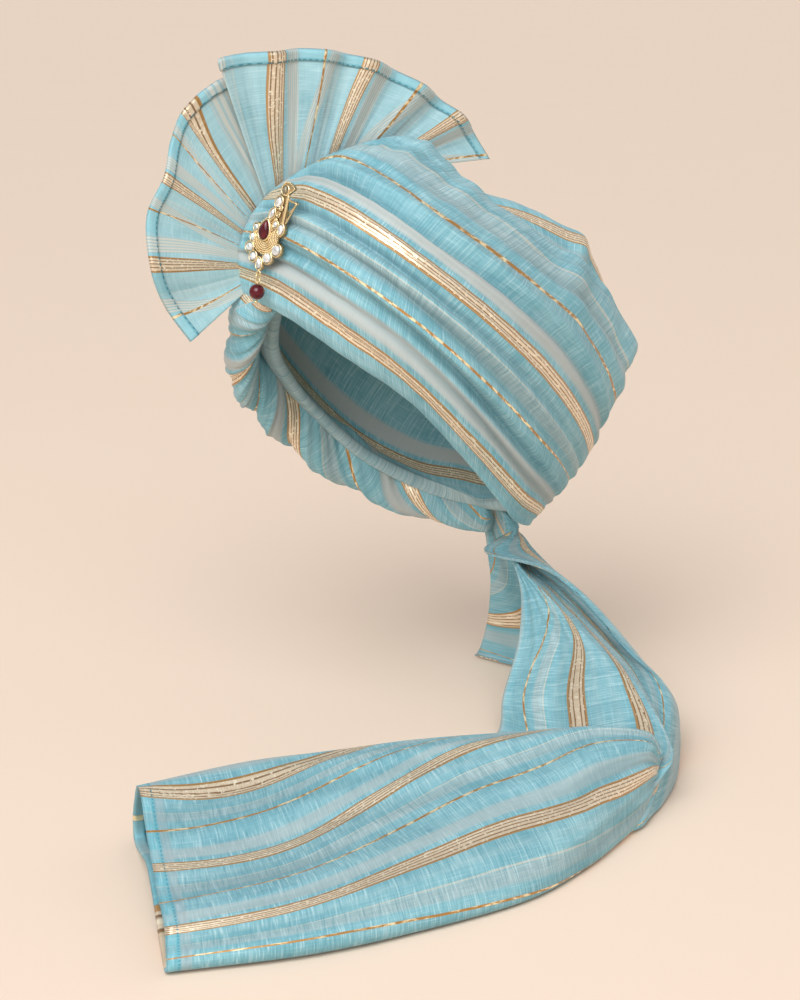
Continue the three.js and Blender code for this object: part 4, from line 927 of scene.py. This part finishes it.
whole_turn = np.linspace(0, 2 * np.pi, 60, endpoint=False)
grain_turn = np.linspace(*CRESCENT_ARC, 34)
gold_shapes = [bezel(stone, CLEAR_BEZEL) for stone in CLEAR_STONES] + [bezel(RUBY, RUBY_BEZEL, 56)]
gold_shapes += [
    plate(crescent(whole_turn), PLATE_FOOT, CRESCENT_TOP),
    plate(rounded(STEM_OUTLINE, 48), PLATE_FOOT, PLATE_THICK),
    plate(rounded(CREST_OUTLINE, 48), PLATE_FOOT, CREST_TOP),
]
gold_shapes += [wire(np.linspace(start, end, count), radius) for start, end, radius, count in BARS]
gold_shapes += [granules(at_height(crescent(grain_turn, share), GRAIN_HEIGHT), radius)
                for share, radius in GRAIN_ROWS]
gold_shapes += [scroll(at, size, start) for at, size, start in SCROLLS]
gold_shapes += [
    granules(at_height(stone_outline(RUBY, 1.9, 30), 2.2), .42),
    granules(at_height(rounded(CREST_OUTLINE, 26) * .98 + (.3, .5), GRAIN_HEIGHT), .5),
    hoop((DROP_X, EYE_Y, DROP_OUT), EYE_RADIUS, .45, X, Y),
    wire(np.linspace((DROP_X, EYE_Y + 3.5, 1), (DROP_X, EYE_Y + 1.3, DROP_OUT), 8), .6),
]
own_points, faces = joined(gold_shapes)
points, faces = on_brooch((own_points, faces))
piece("brooch_gold", points, faces, gold, ["brooch_setting"], own_points)


def clear_cut(stone, count=12):
    """A clear stone: foot, girdle, crown facets and a flat table as rings of its outline."""
    middle, outline = np.array(stone[1]), stone_outline(stone, 0, count)
    foot = PLATE_THICK + STONE_GAP
    steps = [(.8, foot), (1, foot + .85), (.86, foot + 1.45), (.6, foot + 1.85), (.57, foot + 1.9)]
    return capped([at_height(middle + (outline - middle) * k, h) for k, h in steps])


def cabochon(stone, high, count=48):
    """A domed stone: its outline shrinks as the cosine while it rises as the sine."""
    middle, outline = np.array(stone[1]), stone_outline(stone, 0, count)
    foot = PLATE_THICK + STONE_GAP
    rise = np.linspace(0, np.pi / 2, 14)[:-1]
    steps = [(.94, foot)] + [(np.cos(a) ** .8, foot + 1.3 + (high - 1.3) * np.sin(a)) for a in rise]
    return capped([at_height(middle + (outline - middle) * k, h) for k, h in steps])


points, faces = on_brooch(joined([clear_cut(stone) for stone in CLEAR_STONES[1:]]))
piece("clear_stones", points, faces, clear_glass,
      [f"clear_stone_{k:02d}" for k in range(2, 13)], flat_shaded=True)
points, faces = on_brooch(clear_cut(CLEAR_STONES[0]))
piece("crest_stone", points, faces, smoke_glass, ["clear_stone_01"], flat_shaded=True)
points, faces = on_brooch(cabochon(RUBY, RUBY_TOP))
piece("ruby_cabochon", points, faces, ruby_glass, ["ruby_stone"])

points, faces = on_brooch(hoop((DROP_X, LINK_Y, DROP_OUT), LINK_RADIUS, .4, Y, Z))
piece("drop_ring", points, faces, gold, ["drop_link"], np.full_like(points, DROP_HEIGHT))
bead_top = BEAD_Y + BEAD_RADIUS
points, faces = on_brooch(joined([
    hoop((DROP_X, bead_top + 1.9, DROP_OUT), 1.4, .4, X, Y),
    wire(np.linspace((DROP_X, bead_top + .95, DROP_OUT), (DROP_X, bead_top - 10.2, DROP_OUT), 30), .5),
    wire(np.linspace((DROP_X, bead_top + .9, DROP_OUT), (DROP_X, bead_top + .3, DROP_OUT),
                     len(CAP_RADII)), CAP_RADII, 20),
    granules([(DROP_X, BEAD_Y - BEAD_RADIUS - 1.2, DROP_OUT)], 1.1),
]))
piece("drop_gold", points, faces, gold, ["drop_cap"], np.full_like(points, DROP_HEIGHT))


def turned_bead(rows=28, sides=40, bore=.85):
    """A bead: a half circle from bore to bore, spun about the drop's own line, with its bore."""
    start = np.arcsin(bore / BEAD_RADIUS)
    angle = np.linspace(start, np.pi - start, rows)
    radius = np.concatenate([BEAD_RADIUS * np.sin(angle), [bore]])
    height = np.concatenate([-BEAD_RADIUS * np.cos(angle), [-BEAD_RADIUS * np.cos(start)]])
    spin = np.linspace(0, 2 * np.pi, sides, endpoint=False)
    grid = np.stack([DROP_X + radius[:, None] * np.cos(spin),
                     BEAD_Y + np.broadcast_to(height[:, None], (rows + 1, sides)),
                     DROP_OUT + radius[:, None] * np.sin(spin)], axis=-1)
    return grid.reshape(-1, 3), quads(*grid.shape[:2], ring=True)


points, faces = on_brooch(turned_bead())
piece("ruby_bead", points, faces, ruby_glass, ["drop_bead"])
points, faces = on_brooch(wire(np.linspace(*PIN_ENDS, 24), PIN_RADIUS))
piece("pin_wire", points, faces, gold, ["brooch_pin"], np.full_like(points, DROP_HEIGHT))


# Floor in millimetres, light and camera in metres.

FLOOR_REACH = 40000  # runs out past every view
PAPER_GRAIN = 300  # size of the paper's faint clouds
VIEW_TURN, VIEW_RISE = np.radians(58), np.radians(13.2)
CAMERA_AT, VIEW_AT = (1.2384, -.7711, .2508), np.array((.06, 0, -.03))
LENS, FILM = 85, 36  # millimetres
KEY_FAR, KEY_WIDE, KEY_POWER = 1.9, .8, 8
CEILING_FAR, CEILING_POWER, CEILING_SPREAD = 3, 2.55, np.radians(60)
LOW_FULL, LOW_END = .02, .24  # heights in the sky between which the paper's tone fades out


def paper_floor(reach, count=9):
    """A flat sheet of pale paper under the tail: a square grid that runs out past every view."""
    x, y = np.meshgrid(np.linspace(-reach, reach, count), np.linspace(-reach, reach, count))
    grid = np.stack([x, y, np.full_like(x, FLOOR_Z)], axis=-1)
    return grid.reshape(-1, 3), quads(count, count)[:, ::-1]


def pale_paper(name):
    """Uncoated backdrop paper: matt all over, with faint broad clouds of tone."""
    material, tree = empty_finish(name)
    node = partial(add, tree)
    grain = node("TexNoise", {"Vector": node("TexCoord", out=3), "Scale": 1 / (PAPER_GRAIN * MM)})
    tone = node("Mix", {0: grain, 6: linear("#efdac7"), 7: linear("#f0dcca")}, out=2, data_type="RGBA")
    node("OutputMaterial", {0: node("BsdfPrincipled", {"Base Color": tone, "Roughness": .9})})
    return material


mesh = bpy.data.meshes.new("paper_floor")
points, faces = paper_floor(FLOOR_REACH)
mesh.from_pydata((points * MM).tolist(), [], faces.tolist())
mesh.materials.append(pale_paper("pale_paper"))
floor = bpy.data.objects.new("paper_floor", mesh)
bpy.context.scene.collection.objects.link(floor)

view_back = np.array((np.sin(VIEW_TURN) * np.cos(VIEW_RISE), -np.cos(VIEW_TURN) * np.cos(VIEW_RISE),
                      np.sin(VIEW_RISE)))
view_right = np.array((np.cos(VIEW_TURN), np.sin(VIEW_TURN), 0))
view_up = np.cross(view_back, view_right)
key_side = unit(.9 * view_back - .2 * view_right + .46 * view_up)


def placed(thing, place, right, up, back):
    """Stands a camera or lamp at a place with its axes as the columns of its matrix."""
    matrix = np.eye(4)
    matrix[:3, 0], matrix[:3, 1], matrix[:3, 2], matrix[:3, 3] = right, up, back, place
    thing.matrix_world = Matrix(matrix.tolist())
    bpy.context.scene.collection.objects.link(thing)


def lit_from(lamp, back, far):
    """Stands a lamp some way off in one direction, level, and looking back along it."""
    right = unit(np.cross(Z, back))
    placed(bpy.data.objects.new(lamp.name, lamp), VIEW_AT + far * back, right, np.cross(back, right), back)


# A round soft lamp beside the camera gives the glints, and a wide one far off the even light.
key_lamp = bpy.data.lights.new("key_lamp", "AREA")
key_lamp.shape, key_lamp.size, key_lamp.energy = "DISK", KEY_WIDE, KEY_POWER
lit_from(key_lamp, key_side, KEY_FAR)
ceiling = bpy.data.lights.new("ceiling_light", "SUN")
ceiling.energy, ceiling.angle = CEILING_POWER, CEILING_SPREAD
lit_from(ceiling, key_side, CEILING_FAR)

# Even light from all round, with the paper's own tone low down, so that the floor fades out at its end.
world = bpy.data.worlds.new("studio")
world.use_nodes = True
world_node = partial(add, world.node_tree)
rise = world_node("SeparateXYZ", {0: world_node("TexCoord")}, out=2)
low = world_node("MapRange", {0: rise, 1: LOW_END, 2: LOW_FULL}, interpolation_type="SMOOTHSTEP")
tone = world_node("Mix", {0: low, 6: linear("#aeacab"), 7: linear("#e7d5c4")}, out=2, data_type="RGBA")
world.node_tree.links.new(tone, world.node_tree.nodes["Background"].inputs[0])
bpy.context.scene.world = world
bpy.context.scene.view_settings.view_transform = "Standard"

lens = bpy.data.cameras.new("camera")
lens.lens, lens.sensor_width, lens.sensor_fit = LENS, FILM, "AUTO"
lens.clip_start, lens.clip_end = .01, 90
camera = bpy.data.objects.new("camera", lens)
placed(camera, CAMERA_AT, view_right, view_up, view_back)
bpy.context.scene.camera = camera
